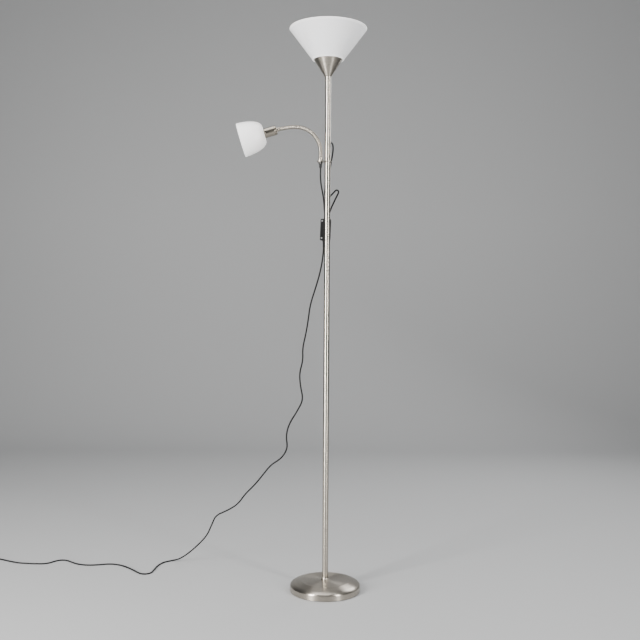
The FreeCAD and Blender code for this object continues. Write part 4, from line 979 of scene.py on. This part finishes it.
def slab(name, outline, bottom, top, holes=()):
    """An outline of (x, y) points drawn up from bottom to top, with round holes cut through."""
    shape = bmesh.new()
    lower = [shape.verts.new((x, y, bottom)) for x, y in outline]
    face = shape.faces.new(lower)
    risen = bmesh.ops.extrude_face_region(shape, geom=[face])
    for item in risen["geom"]:
        if isinstance(item, bmesh.types.BMVert):
            item.co.z = top
    bmesh.ops.recalc_face_normals(shape, faces=shape.faces)
    mesh = bpy.data.meshes.new(name)
    shape.to_mesh(mesh)
    shape.free()
    for x, y, radius in holes:
        cutter = turned_mesh("cutter", [(0, bottom - overrun), (radius, bottom - overrun),
                                        (radius, top + overrun), (0, top + overrun)], steps=48)
        cutter.transform(Matrix.Translation((x, y, 0)))
        mesh = cut_away(mesh, cutter)
    return mesh


def cut_away(mesh, cutter):
    """The mesh without the part that lies in the cutter."""
    body, tool = new_object("cut_body", mesh), new_object("cut_tool", cutter)
    modifier = body.modifiers.new("cut", "BOOLEAN")
    modifier.operation = "DIFFERENCE"
    modifier.solver = "EXACT"
    modifier.object = tool
    result = evaluated_mesh(body)
    for item in (body, tool):
        bpy.data.objects.remove(item)
    return result


plate_half = plate_high.y
far_centre = plate_low.x + plate_half
near_centre = plate_high.x - plate_half
plate_outline = [(centre_x + plate_half * math.cos(angle), plate_half * math.sin(angle))
                 for centre_x, first_degree in ((near_centre, -90), (far_centre, 90))
                 for angle in arc_angles(24, 0, 180.0, first_degree)]
plate_mesh = slab("arm_plate_cut", plate_outline, plate_low.z, plate_high.z,
                  [(0, 0, stud_hole), (-neck_offset, 0, thread_hole)])
fit(link_piece("arm_plate_cut", bevelled(plate_mesh, 0.0004), plate_nickel), "arm", "arm_plate")

neck_place = Matrix.Translation((-neck_offset, 0, 0))
ferrule_radius = neck_radius + 0.0006
thread_bottom = plate_low.z - 0.012
ferrule = [(wire_bore, thread_bottom), (thread_radius, thread_bottom), (thread_radius, plate_top),
           (ferrule_radius, plate_top), (ferrule_radius, plate_top + ferrule_length * 0.45),
           (ferrule_radius - 0.0004, plate_top + ferrule_length * 0.5),
           (ferrule_radius, plate_top + ferrule_length * 0.55),
           (ferrule_radius, plate_top + ferrule_length - 0.0004),
           (0.0047, plate_top + ferrule_length), (0.0043, plate_top + ferrule_length + 0.0022),
           (0.003, plate_top + ferrule_length + 0.0022), (wire_bore, plate_top + 0.0016)]
turned_piece("neck_base_ferrule_turned", ferrule, small_nickel, "arm", "neck_base_ferrule", 0.0003,
             neck_place, 64)

nut_flats = 0.013
nut_corner = nut_flats / 2 / math.cos(math.radians(30))
nut_outline = [(-neck_offset + nut_corner * math.cos(math.radians(60 * side + 30)),
                nut_corner * math.sin(math.radians(60 * side + 30))) for side in range(6)]
nut_mesh = slab("neck_nut_cut", nut_outline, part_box("neck_nut")[0].z, plate_low.z,
                [(-neck_offset, 0, thread_hole)])
fit(link_piece("neck_nut_cut", bevelled(nut_mesh, 0.0006, 3), near_black_nut_metal), "arm", "neck_nut")

bush_low, bush_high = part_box("lead_bushing")
bush_radius = (bush_high.x - bush_low.x) / 2
waist = bush_radius - 0.0005
lead_hole = 0.00255
bush = [(lead_hole, 0), (0.0036, 0), (0.0040, 0.0016), (0.0044, 0.0030), (bush_radius, 0.004),
        (bush_radius, 0.0062), (waist, 0.0066), (waist, 0.0086), (bush_radius, 0.009)]
bush = [(radius, bush_low.z + height) for radius, height in bush]
bush += [(bush_radius, bush_high.z), (thread_hole, bush_high.z),
         (thread_hole, bush_high.z - 0.0055), (lead_hole, bush_high.z - 0.0056)]
turned_piece("lead_bush_moulded", bush, black_plastic, "arm", "lead_bushing", 0.0002,
             neck_place, 48)

# %% [markdown]
# The reading head lies along the neck's last heading, so its turned pieces are made upright
# about their own axis and then laid over by one matrix. The cup is nickel with a rounded
# closed end; the bell shade is clamped to the holder inside it.

# %% Reading head
head_turn = Vector((0, 0, 1)).rotation_difference(head_direction)
head_place = Matrix.Translation(head_origin) @ head_turn.to_matrix().to_4x4()
cup_length = 0.042
head_cup_radius = 0.0155
head_wall = 0.001
corner = 0.005
head_shade_depth = 0.078
head_shade_radius = 0.0545
head_shade_back = 0.024
head_shade_wall = 0.002
head_socket = 0.0084
head_sleeve = 0.0132
sleeve_end = cup_length + 0.015

tip_seat, tip_bore_end = 0.00495, -0.0056
tip = [(tip_seat, -ferrule_length), (ferrule_radius - 0.0006, -ferrule_length),
       (ferrule_radius, -ferrule_length + 0.0006), (ferrule_radius, -0.0056),
       (ferrule_radius - 0.0004, -0.0052), (ferrule_radius, -0.0048), (ferrule_radius, 0),
       (thread_radius, 0), (thread_radius, 0.0115), (wire_bore, 0.0115),
       (wire_bore, tip_bore_end), (tip_seat, -0.0062)]
turned_piece("neck_tip_ferrule_turned", tip, small_nickel, "head", "neck_tip_ferrule", 0.0002,
             head_place, 64)

inner_radius = head_cup_radius - head_wall
corner_centre = head_cup_radius - corner
head_cup = [(thread_hole, 0), (corner_centre, 0)]
head_cup += [(corner_centre + corner * math.sin(angle), corner - corner * math.cos(angle))
             for angle in arc_angles(10, 1)]
for groove in (0.0072, cup_length - 0.0027):
    head_cup += [(head_cup_radius, groove - 0.0005), (head_cup_radius - 0.0005, groove),
                 (head_cup_radius, groove + 0.0005)]
head_cup += [(head_cup_radius, cup_length), (inner_radius, cup_length), (inner_radius, corner),
             (inner_radius - 0.003, 0.002), (thread_hole, 0.002)]
turned_piece("reading_cup_turned", head_cup, shaded_cup_nickel, "head", "reading_cup", 0.0002, head_place)

head_holder = holder_outline(
    bottom=0.018, radius=inner_radius - 0.0015, flange_bottom=cup_length - 0.0025,
    flange_radius=inner_radius - thread_gap, rim=cup_length, sleeve_radius=head_sleeve,
    top=sleeve_end, socket=head_socket, seat=0.0348)
turned_piece("reading_holder", head_holder, holder_plastic, "head", "reading_holder_body", 0.0004,
             head_place, 72)
head_bulb = bulb_outline(radius=0.0225, cap_radius=0.007, bottom=0.056, top=0.114)
turned_piece("reading_bulb_globe_blown", head_bulb, opal_glass, "head", "reading_bulb_globe",
             0.0001, head_place, 72, 60.0)
keep_nodes({"neck_tip_nut": zinc_steel, "reading_holder_cap": holder_plastic,
            "reading_screw_shell": brass_metal, "reading_centre_contact": brass_metal,
            "reading_bulb_cap": thread_metal})


# %% Reading shade
def bell(back, swell, start, depth, steps=28):
    """A quarter of an ellipse, from the shade's back at start to its open edge."""
    return [(back + swell * math.sin(angle), start + depth * (1 - math.cos(angle)))
            for angle in arc_angles(steps)]


head_shade_swell = head_shade_radius - head_shade_back
outer_bell = bell(head_shade_back, head_shade_swell, cup_length, head_shade_depth)
inner_bell = bell(head_shade_back, head_shade_swell - head_shade_wall,
                  cup_length + head_shade_wall, head_shade_depth - head_shade_wall)
bell_outline = ([(head_sleeve + free_gap, cup_length)] + outer_bell + inner_bell[::-1]
                + [(head_sleeve + free_gap, cup_length + head_shade_wall)])
# The open mouth gets the painted rim highlight, reaching 6 mm in.
turned_wall_piece("reading_shade_bell", softened(bell_outline, 0.0006, 2), reading_white, "head",
                  "reading_shade", [(cup_length + head_shade_depth, 0.006)], tuple(head_origin),
                  tuple(head_turn.to_euler()))

# %% [markdown]
# Each shade is held by a threaded plastic ring with grip ribs. One small rib is modelled for
# each ring, and the same tree sets copies of it round a circle.

# %% The ring of copies tree
def make_ring_of_copies_tree():
    w, given, output = geometry_tree("ring of copies", [
        ("Count", "Int", 24), ("Radius", "Float", 0.02), ("Height", "Float", 0.0),
        ("Place", "Vector", None), ("Tilt", "Vector", None)])
    circle = w.node("GeometryNodeMeshCircle", Vertices=given["Count"], Radius=given["Radius"])
    position = w.node("GeometryNodeInputPosition").outputs[0]
    outward = w.node("FunctionNodeAlignRotationToVector", {"axis": "X"}, Vector=position)
    copies = w.node("GeometryNodeInstanceOnPoints", Points=circle.outputs[0],
                    Instance=given["Geometry"], Rotation=outward.outputs[0])
    lift = w.node("ShaderNodeCombineXYZ", Z=given["Height"])
    raised = w.node("GeometryNodeTransform", Geometry=copies.outputs[0],
                    Translation=lift.outputs[0])
    placed = w.node("GeometryNodeTransform", Geometry=raised.outputs[0], Translation=given["Place"],
                    Rotation=given["Tilt"])
    return w.close(placed.outputs[0], given["Finish"], output)


ring_of_copies = make_ring_of_copies_tree()


def stacked(name, loops, closed_ring=False):
    """A skin drawn over loops of points, each joined to the next. Both ends are closed, or the
    last loop is joined to the first."""
    count = len(loops[0])
    verts = [tuple(point) for loop in loops for point in loop]
    faces = []
    spans = len(loops) if closed_ring else len(loops) - 1
    for row in range(spans):
        low, high = row * count, (row + 1) % len(loops) * count
        for step in range(count):
            ahead = (step + 1) % count
            faces.append((low + step, low + ahead, high + ahead, high + step))
    if not closed_ring:
        faces.append(tuple(range(count))[::-1])
        faces.append(tuple((len(loops) - 1) * count + step for step in range(count)))
    mesh = bpy.data.meshes.new(name)
    mesh.from_pydata(verts, [], faces)
    face_outwards(mesh)
    return mesh


def rounded_rectangle(width, height, corner, steps=6):
    points = []
    for quarter, (sx, sy) in enumerate(((1, 1), (-1, 1), (-1, -1), (1, -1))):
        for step in range(steps + 1):
            angle = math.radians(90.0 * (quarter + step / steps))
            points.append((sx * (width / 2 - corner) + corner * math.cos(angle),
                           sy * (height / 2 - corner) + corner * math.sin(angle)))
    return points


# %% Shade rings
rib_depth = 0.0011
rib_root = 0.0006     # how far a rib's foot goes into the ring


def rib_mesh(width, height):
    loops = []
    for level, share in ((0, 0.7), (0.12, 1.0), (0.88, 1.0), (1, 0.7)):
        half, reach = width / 2 * share, rib_depth * share
        section = [(-rib_root, half), (reach * 0.7, half), (reach, half * 0.45)]
        points = [(x, -y) for x, y in section] + section[::-1]
        loops.append([(x, y, level * height) for x, y in points])
    return stacked("rib", loops)


def shade_ring(name, node, body, bore, radius, bottom, height, ribs, place, tilt):
    base_matrix = Matrix.Translation(place) @ tilt.to_matrix().to_4x4()
    root, top = radius - rib_depth, bottom + height
    ring = [(bore, bottom), (root, bottom), (root, top), (bore + 0.001, top), (bore, top - 0.001)]
    turned_piece(name, ring, holder_plastic, body, node, 0.0005, base_matrix)
    rib_width = 2 * math.pi * root / ribs * 0.62
    grips = grow(name + "_grips", rib_mesh(rib_width, height * 0.86), ring_of_copies,
                 {"Count": ribs, "Radius": root, "Height": bottom + height * 0.07,
                  "Place": tuple(place), "Tilt": tuple(tilt.to_euler())}, holder_plastic)
    fit(grips, body, slot=slot_of(node))


ring_low, ring_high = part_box("main_shade_ring")
shade_ring("uplight_shade_ring", "main_shade_ring", stand, bore=main_sleeve + thread_gap,
           radius=ring_high.x, bottom=ring_low.z, height=ring_high.z - ring_low.z, ribs=40,
           place=Vector((0, 0, 0)), tilt=Quaternion())
shade_ring("reading_ring", "reading_shade_ring", "head", bore=head_sleeve + thread_gap,
           radius=head_sleeve + 0.005, bottom=cup_length + head_shade_wall, height=0.006, ribs=26,
           place=head_origin, tilt=head_turn)

# %% [markdown]
# The switch is a small black box on the leads, just behind the pole: two halves with a fine
# parting line, two rocker buttons on the far side and four screws on the side that faces us.
# It leans two degrees, so it is built upright about its own centre and then placed.

# %% Switch housing
switch_width, switch_height, switch_half_depth = 0.0346, 0.069, 0.011
switch_corner = 0.004
switch_edge = 0.0016
switch_centre = Vector((-0.0051, 0.0213, 1.1575))
switch_place = Matrix.Translation(switch_centre) @ Matrix.Rotation(math.radians(2.0), 4, "Y")
lead_radius = 0.0025


def in_switch(x, y, z):
    return switch_place @ Vector((x, y, z))


def housing_half(name, side):
    """One shell: a hairline at the parting face, straight sides and a rounded outer edge."""
    straight = switch_half_depth - switch_edge
    levels = [(0.00003, 0.00045), (0.00035, 0.0), (straight, 0.0)]
    levels += [(straight + switch_edge * math.sin(angle), switch_edge * (1 - math.cos(angle)))
               for angle in arc_angles(5, 1)]
    loops = []
    for depth, inset in levels:
        outline = rounded_rectangle(switch_width - 2 * inset, switch_height - 2 * inset,
                                    switch_corner - inset * 0.8)
        loops.append([(x, side * depth, z) for x, z in outline])
    return stacked(name, loops)


def block(width, depth, height, corner, centre):
    loops = [[(centre[0] + x, centre[1] + y, centre[2] + z)
              for x, z in rounded_rectangle(width, height, corner, 4)]
             for y in (-depth / 2, depth / 2)]
    return stacked("block", loops)


rocker_x, rocker_width, rocker_length = 0.007, 0.0108, 0.0252
front_mesh = housing_half("switch_front_shell", 1)
for side in (-1, 1):
    window = block(rocker_width + 0.001, 0.016, rocker_length + 0.0012, 0.0008,
                   (side * rocker_x, switch_half_depth + 0.0005, 0))
    front_mesh = cut_away(front_mesh, window)
front_mesh.transform(switch_place)
fit(link_piece("switch_front_shell", front_mesh, black_plastic), stand, "switch_front")

screw_x, screw_z, screw_head = 0.0116, 0.0276, 0.0027
screw_spots = [(x, z) for x in (-screw_x, screw_x) for z in (-screw_z, screw_z)]
back_mesh = housing_half("switch_back_shell", -1)
z_to_back = Matrix(((1, 0, 0, 0), (0, 0, -1, 0), (0, 1, 0, 0), (0, 0, 0, 1)))
for x, z in screw_spots:
    recess = turned_mesh("recess", [(0, 0.0096), (screw_head + free_gap, 0.0096),
                                    (screw_head + free_gap, 0.013), (0, 0.013)], steps=24)
    recess.transform(Matrix.Translation((x, 0, z)) @ z_to_back)
    back_mesh = cut_away(back_mesh, recess)
back_mesh.transform(switch_place)
fit(link_piece("switch_back_shell", back_mesh, black_plastic), stand, "switch_back")


# %% [markdown]
# The screws are copies of one slotted head, each turned by its own amount from a fixed seed, the
# way a fitter leaves them.

# %% Switch screws
def make_parts_on_points_tree():
    w, given, output = geometry_tree("parts on points", [("Part", "Object", None),
                                                         ("Seed", "Int", 3)])
    part = w.node("GeometryNodeObjectInfo", Object=given["Part"])
    turn = w.node("FunctionNodeRandomValue", {"data_type": "FLOAT"}, Seed=given["Seed"])
    turn.inputs[3].default_value = math.pi
    spin = w.node("ShaderNodeCombineXYZ", Z=turn.outputs[1])
    copies = w.node("GeometryNodeInstanceOnPoints", Points=given["Geometry"],
                    Instance=part.outputs["Geometry"], Rotation=spin.outputs[0])
    return w.close(copies.outputs[0], given["Finish"], output)


parts_on_points = make_parts_on_points_tree()
slot_half_length, slot_half_width = 0.004, 0.00035
screw_outline = [(0, 0), (0.0014, 0), (0.0014, 0.0066), (screw_head, 0.0076),
                 (screw_head, 0.0084), (0.0018, 0.0090), (0, 0.0091)]
screw_mesh = turned_mesh("screw", softened(screw_outline, 0.0002, closed=False), steps=28)
slot_corners = [(sx * slot_half_length, sy * slot_half_width)
                for sx, sy in ((-1, -1), (1, -1), (1, 1), (-1, 1))]
slot_mesh = stacked("slot", [[(x, y, z) for x, y in slot_corners] for z in (0.0084, 0.0100)])
screw_mesh = cut_away(screw_mesh, slot_mesh)
screw_part = new_object("screw_part", screw_mesh)
spots = points_mesh("screw_spots", [(x, z, 0.0021) for x, z in screw_spots])
screws = grow("switch_screws_driven", spots, parts_on_points, {"Part": screw_part, "Seed": 5},
              zinc_steel)
bpy.data.objects.remove(screw_part)
screws.data.transform(switch_place @ z_to_back)
fit(screws, stand, "switch_screws")
keep_nodes({"switch_terminals": brass_metal})

# %% Rockers
rocker_tip = Matrix.Rotation(math.radians(-6.0), 4, "X")
crown, valley, skirt, keel = 0.0032, 0.0020, 0.0015, 0.0045
pivot_y = switch_half_depth - 0.0024
across_rocker = Matrix(((0, 0, 1, 0), (1, 0, 0, 0), (0, 1, 0, 0), (0, 0, 0, 1)))


def rocker_piece(node, grip_start=0.55, grip_depth=0.00028):
    """A rocker: a valley in the middle, raised ends with fine grips, and a keel below."""
    half = rocker_length / 2
    top = []
    for step in range(25):
        z = -half + rocker_length * step / 24
        share = abs(z) / half
        height = valley + (crown - valley) * share ** 1.6
        if share > grip_start and step % 2:
            height -= grip_depth
        top.append((height, z))
    outline = [(-skirt, -half)] + top + [(-skirt, half), (-keel, 0)]
    shape = slab(node + "_button", outline[::-1], -rocker_width / 2, rocker_width / 2)
    mesh = bevelled(shape, 0.0003, 2, 50)
    low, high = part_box(node)
    side = 1 if (low.x + high.x) / 2 > switch_centre.x else -1
    seat = Matrix.Translation((side * rocker_x, pivot_y, 0))
    mesh.transform(switch_place @ seat @ rocker_tip @ across_rocker)
    face_outwards(mesh)
    fit(link_piece(node + "_button", mesh, rocker_plastic, 40), node, node)


rocker_piece("rocker_reading")
rocker_piece("rocker_uplight")


# %% Strain relief
def ribbed_relief(root, tip, length, ribs=6, ring_depth=0.0007):
    """A tapering sleeve with cut rings, so that it bends evenly."""
    outline = [(0, 0), (root + 0.0008, 0), (root + 0.0008, -0.002), (root, -0.003)]
    pitch = (length - 0.008) / ribs
    for rib in range(ribs):
        start = -0.0045 - (length - 0.008) * rib / ribs
        width = pitch * 0.42
        for depth, offset in ((0.0, 0.0), (ring_depth, 0.0002), (ring_depth, width),
                              (0.0, width + 0.0002)):
            z = start - offset
            outline.append((root + (tip - root) * (-z / length) - depth, z))
    return outline + [(tip, -length), (0, -length)]


relief_length, relief_radius, relief_tip = 0.022, 0.0044, 0.0031
entry_x = 0.004       # the mains and reading leads enter this far to the left of the middle
relief_place = switch_place @ Matrix.Translation((-entry_x, 0, -switch_height / 2))
turned_piece("mains_relief_moulded",
             ribbed_relief(relief_radius, relief_tip, relief_length), lead_rubber,
             stand, "mains_strain_relief", 0.0002, relief_place, 40)

# %% [markdown]
# Cords. The points of each route are listed in the order the lead runs. A NURBS curve of
# order three takes them as control points, so the lead bends softly and never kinks. Where a
# point belongs to the switch, it is given in the switch's own axes.

# %% Cord routes
entry_depth = 0.002
exit_angle = math.radians(33.0)
grommet_reach = 0.0109
lead_exit = 1.4375


def around_pole(radius, height):
    return Vector((radius * math.cos(exit_angle), radius * math.sin(exit_angle), height))


def in_metres(points):
    return [Vector((x / 1000, y / 1000, z / 1000)) for x, y, z in points]


def into_switch(x, above):
    """The last two points of a lead that enters the top of the switch."""
    return [in_switch(x, 0, switch_height / 2 + above),
            in_switch(x, 0, switch_height / 2 - entry_depth)]


grommet_mouth = around_pole(grommet_reach, lead_exit)
uplight_hanging = [
    (17.3, 11.5, 1430), (18.2, 13.2, 1419), (16.4, 15, 1401), (12.6, 17, 1380), (8.6, 19.5, 1357),
    (3, 22, 1332), (-3, 24, 1309), (-7, 25.4, 1291), (-8.6, 26, 1278.5), (-7.9, 26.2, 1269.8),
    (-4.4, 26.3, 1264.6), (1.5, 26.3, 1262.4), (7.6, 26.2, 1264.3), (14.3, 26, 1272),
    (21.4, 25.8, 1279.4), (27.5, 25.6, 1286.2), (32, 25.5, 1286.8), (35.7, 25.3, 1284.2),
    (36.9, 25.1, 1279.7), (33.6, 24.6, 1272), (28, 24, 1261), (21.6, 23.3, 1247),
    (14.6, 22.6, 1232.5), (9.4, 22, 1218)]
uplight_points = [grommet_mouth, around_pole(grommet_reach + 0.005, lead_exit - 0.0005)]
uplight_points += in_metres(uplight_hanging)
uplight_points += into_switch(rocker_x, 0.009)

bush_end = 1.354
reading_hanging = [(-22.3, 2.6, -34), (-20.4, 7, -52), (-17, 12, -70), (-13, 16.4, -90),
                   (-10.4, 18.6, -112), (-9, 20, -134)]
reading_points = [Vector((-neck_offset, 0, bush_end)), Vector((-neck_offset, 0, bush_end - 0.016))]
reading_points += [Vector((x / 1000, y / 1000, bush_end + z / 1000)) for x, y, z in reading_hanging]
reading_points += into_switch(-entry_x, 0.018)

floor_lie = lead_radius
mains_start = in_switch(-entry_x, 0, -switch_height / 2 - relief_length)
hanging = [
    (-21, 27, 1022), (-36, 36, 970), (-54, 46, 914), (-60, 51, 862), (-68, 55, 815), (-78, 60, 772),
    (-76, 61, 732), (-88, 66, 690), (-84, 66, 646), (-74, 61, 604), (-96, 71, 562), (-121, 84, 522),
    (-132, 91, 480), (-125, 90, 440), (-146, 100, 404), (-182, 119, 380), (-210, 136, 342),
    (-240, 153, 303), (-272, 171, 270), (-299, 186, 230), (-340, 210, 202), (-380, 233, 181),
    (-396, 243, 141), (-413, 252, 104), (-445, 270, 68), (-478, 287, 36), (-513, 301, 9)]
on_floor = [
    (-545, 301), (-570, 280), (-582, 242), (-585, 202), (-586.5, 177), (-589, 159.5),
    (-601.5, 147.8), (-618.5, 148), (-632, 160), (-648, 181), (-676, 214), (-712, 247),
    (-752, 260), (-788, 247), (-826, 241), (-864, 253), (-893, 278), (-914, 298), (-936, 301),
    (-953, 288), (-963, 268), (-983, 254), (-1022, 256), (-1070, 262), (-1110, 281), (-1148, 305)]
mains_points = [mains_start, in_switch(-entry_x, 0, -switch_height / 2 - relief_length - 0.026)]
mains_points += in_metres(hanging)
mains_points += [Vector((x / 1000, y / 1000, floor_lie)) for x, y in on_floor]

coil_centre = Vector((-1.216, 0.289, 0))
coil_radius, coil_step, coil_rise, coil_lift = 0.030, 0.0064, 0.0057, 0.001
turns_below, turns_climbing, turns_above = 1.25, 0.5, 1.5
coil_turns = turns_below + turns_climbing + turns_above


def coil_size(turns):
    """Radius and height of the put-away coil after a number of turns."""
    low = lead_radius + coil_lift
    if turns <= turns_below:
        return coil_radius - coil_step * turns, low
    inner = coil_radius - coil_step * turns_below
    climbed = (turns - turns_below) / turns_climbing
    if climbed >= 1:
        return inner + coil_step * (turns - turns_below - turns_climbing), low + coil_rise
    return inner, low + coil_rise * (1 - math.cos(math.pi * climbed)) / 2


def coil_spot(turns):
    radius, height = coil_size(turns)
    angle = math.pi / 2 + 2 * math.pi * turns
    return coil_centre + Vector((radius * math.cos(angle), radius * math.sin(angle), height))


mains_points.append(Vector((-1.186, coil_centre.y + coil_radius - 0.0006, floor_lie + 0.0004)))
points_per_turn = 20
coil_points = [coil_spot(step / points_per_turn)
               for step in range(round(coil_turns * points_per_turn) + 1)]
coil_last = coil_points[-1]
plug_thickness, plug_tail = 0.014, 0.024
tail_end = Vector((coil_last.x, coil_last.y - plug_tail, plug_thickness / 2))
mains_points += coil_points
mains_points += [Vector((coil_last.x, coil_last.y - 0.009, coil_last.z - 0.0005)),
                 Vector((tail_end.x, tail_end.y + 0.007, tail_end.z)), tail_end]


def cord_curve(name, points, radius):
    curve = bpy.data.curves.new(name, "CURVE")
    curve.dimensions = "3D"
    spline = curve.splines.new("NURBS")
    spline.points.add(len(points) - 1)
    for control, point in zip(spline.points, points):
        control.co = (*point, 1)
    spline.order_u = 3
    spline.use_endpoint_u = True
    spline.resolution_u = 6
    curve.bevel_depth = radius
    curve.bevel_resolution = 4
    curve.use_fill_caps = True
    return new_object(name, curve)


def centre_line(points):
    """The smooth line that the control points give, as a list of points and its length."""
    bare = cord_curve("bare_line", points, 0.0)
    bare.data.use_fill_caps = False
    line = [vertex.co.copy() for vertex in evaluated_mesh(bare).vertices]
    bpy.data.objects.remove(bare)
    return line, sum((b - a).length for a, b in zip(line, line[1:]))


def laid_lead(name, points, *nodes):
    """A lead that stays a live curve and rides on the stand."""
    lead = cord_curve(name, points, lead_radius)
    lead.data.materials.append(lead_rubber)
    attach(lead, stand)
    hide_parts(*nodes)
    return lead


# %% [markdown]
# The uplighter's lead stays a curve. The reading lead is turned into a plain mesh.

# %% Free leads
uplight_lead = laid_lead("uplight_lead_hung", uplight_points, "uplight_lead")
uplight_length = centre_line(uplight_points)[1]

reading_line, reading_length = centre_line(reading_points)
tube = cord_curve("reading_tube", reading_points, lead_radius)
tube_mesh = evaluated_mesh(tube)
bpy.data.objects.remove(tube)
face_outwards(tube_mesh)
reading_lead = link_piece("reading_lead_hung", tube_mesh, lead_rubber, 60)
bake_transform(reading_lead)
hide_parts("reading_lead")

# %% [markdown]
# The mains lead is one length from the switch to its plug. What the photograph doesn't show of
# it is put away as two layers of small turns, tied twice, close behind the picture's edge.

# %% Plug and ties
plug_place = Matrix.Translation(tail_end) @ z_to_back
plug_relief, plug_body_length = 0.022, 0.036
full, groove = (0.0270, 0.0140), (0.0262, 0.0130)
levels = [(0.0, 0.0130, 0.0104), (0.0009, 0.0146, 0.0120), (0.004, 0.0170, 0.0132),
          (0.008, 0.0205, 0.0138), (0.012, 0.0262, 0.0140), (0.0142, *full), (0.0162, *full),
          (0.0167, *groove), (0.0182, *groove), (0.0187, *full), (0.0207, *full),
          (0.0212, *groove), (0.0227, *groove), (0.0232, *full), (0.0334, *full),
          (0.0350, 0.0260, 0.0132), (0.0360, 0.0236, 0.0112)]
plug_loops = [[(x, y, plug_relief + level)
               for x, y in rounded_rectangle(width, thick, thick * 0.46, 6)]
              for level, width, thick in levels]
plug_mesh = stacked("plug_moulded", plug_loops)
plug_mesh.transform(plug_place)
plug = fit(link_piece("plug_moulded", plug_mesh, plug_rubber), stand, "plug_body")
sleeve_top = plug_relief + 0.001
sleeve_outline = [(radius, sleeve_top + z)
                  for radius, z in ribbed_relief(relief_radius, relief_tip, sleeve_top)]
sleeve = turned_piece("plug_relief_moulded", sleeve_outline, plug_rubber, stand, None, 0.0002,
                      plug_place, 40, slot="black_rubber")
pin_radius, pin_length, pin_half = 0.002, 0.019, 0.0095
pin_root = plug_relief + plug_body_length - 0.001
pin_end = pin_root + pin_length + 0.001
pin_outline = softened([(0, pin_root), (pin_radius, pin_root),
                        (pin_radius, pin_root + pin_length - 0.001), (pin_radius * 0.6, pin_end),
                        (0, pin_end)], 0.0003, closed=False)


def joined_mesh(name, meshes):
    shape = bmesh.new()
    for mesh in meshes:
        shape.from_mesh(mesh)
    joined = bpy.data.meshes.new(name)
    shape.to_mesh(joined)
    shape.free()
    return joined


pin_meshes = [turned_mesh("pin", pin_outline,
                          plug_place @ Matrix.Translation((side * pin_half, 0, 0)), 24)
              for side in (-1, 1)]
pins = fit(link_piece("plug_pins_turned", joined_mesh("plug_pins_turned", pin_meshes),
                      brass_metal), stand, "plug_pins")


tie_slack = 0.0006


def tie_band_mesh(share):
    """A flat band round the coil's turns, at a share of a turn from the coil's start."""
    crossings = [share + turn for turn in range(4) if share + turn <= coil_turns]
    radii = [coil_size(turns)[0] for turns in crossings]
    inner = min(radii) - lead_radius - tie_slack
    outer = max(radii) + lead_radius + tie_slack
    top = 2 * lead_radius + coil_lift + coil_rise + 0.0003
    middle, width = (inner + outer) / 2, 0.006
    turn = Matrix.Rotation(math.pi / 2 + 2 * math.pi * share, 4, "Z")
    place = Matrix.Translation(coil_centre) @ turn
    half, round_off = width / 2, 0.0003
    loops = []
    for offset, grow_by in ((-half, 0.0007), (-half + round_off, 0.0008),
                            (half - round_off, 0.0008), (half, 0.0007), (half, 0.0001),
                            (half - round_off, 0.0), (-half + round_off, 0.0), (-half, 0.0001)):
        outline = rounded_rectangle(outer - inner + 2 * grow_by, top - 0.0008 + 2 * grow_by,
                                    0.0024 + grow_by, 4)
        loops.append([place @ Vector((middle + x, offset, (top + 0.0008) / 2 + z))
                      for x, z in outline])
    return stacked("tie", loops, closed_ring=True)


tie_meshes = [tie_band_mesh(share) for share in (0.375, 0.875)]
ties = fit(link_piece("coil_ties_bands", joined_mesh("coil_ties_bands", tie_meshes), tie_band),
           stand, "coil_ties")

mains = laid_lead("mains_lead_laid", mains_points, "mains_lead", "mains_coil")
print("leads: uplight %.3f m, reading %.3f m, mains %.3f m"
      % (uplight_length, reading_length, centre_line(mains_points)[1]))
keep_nodes({"pole_inner_lead": lead_rubber})
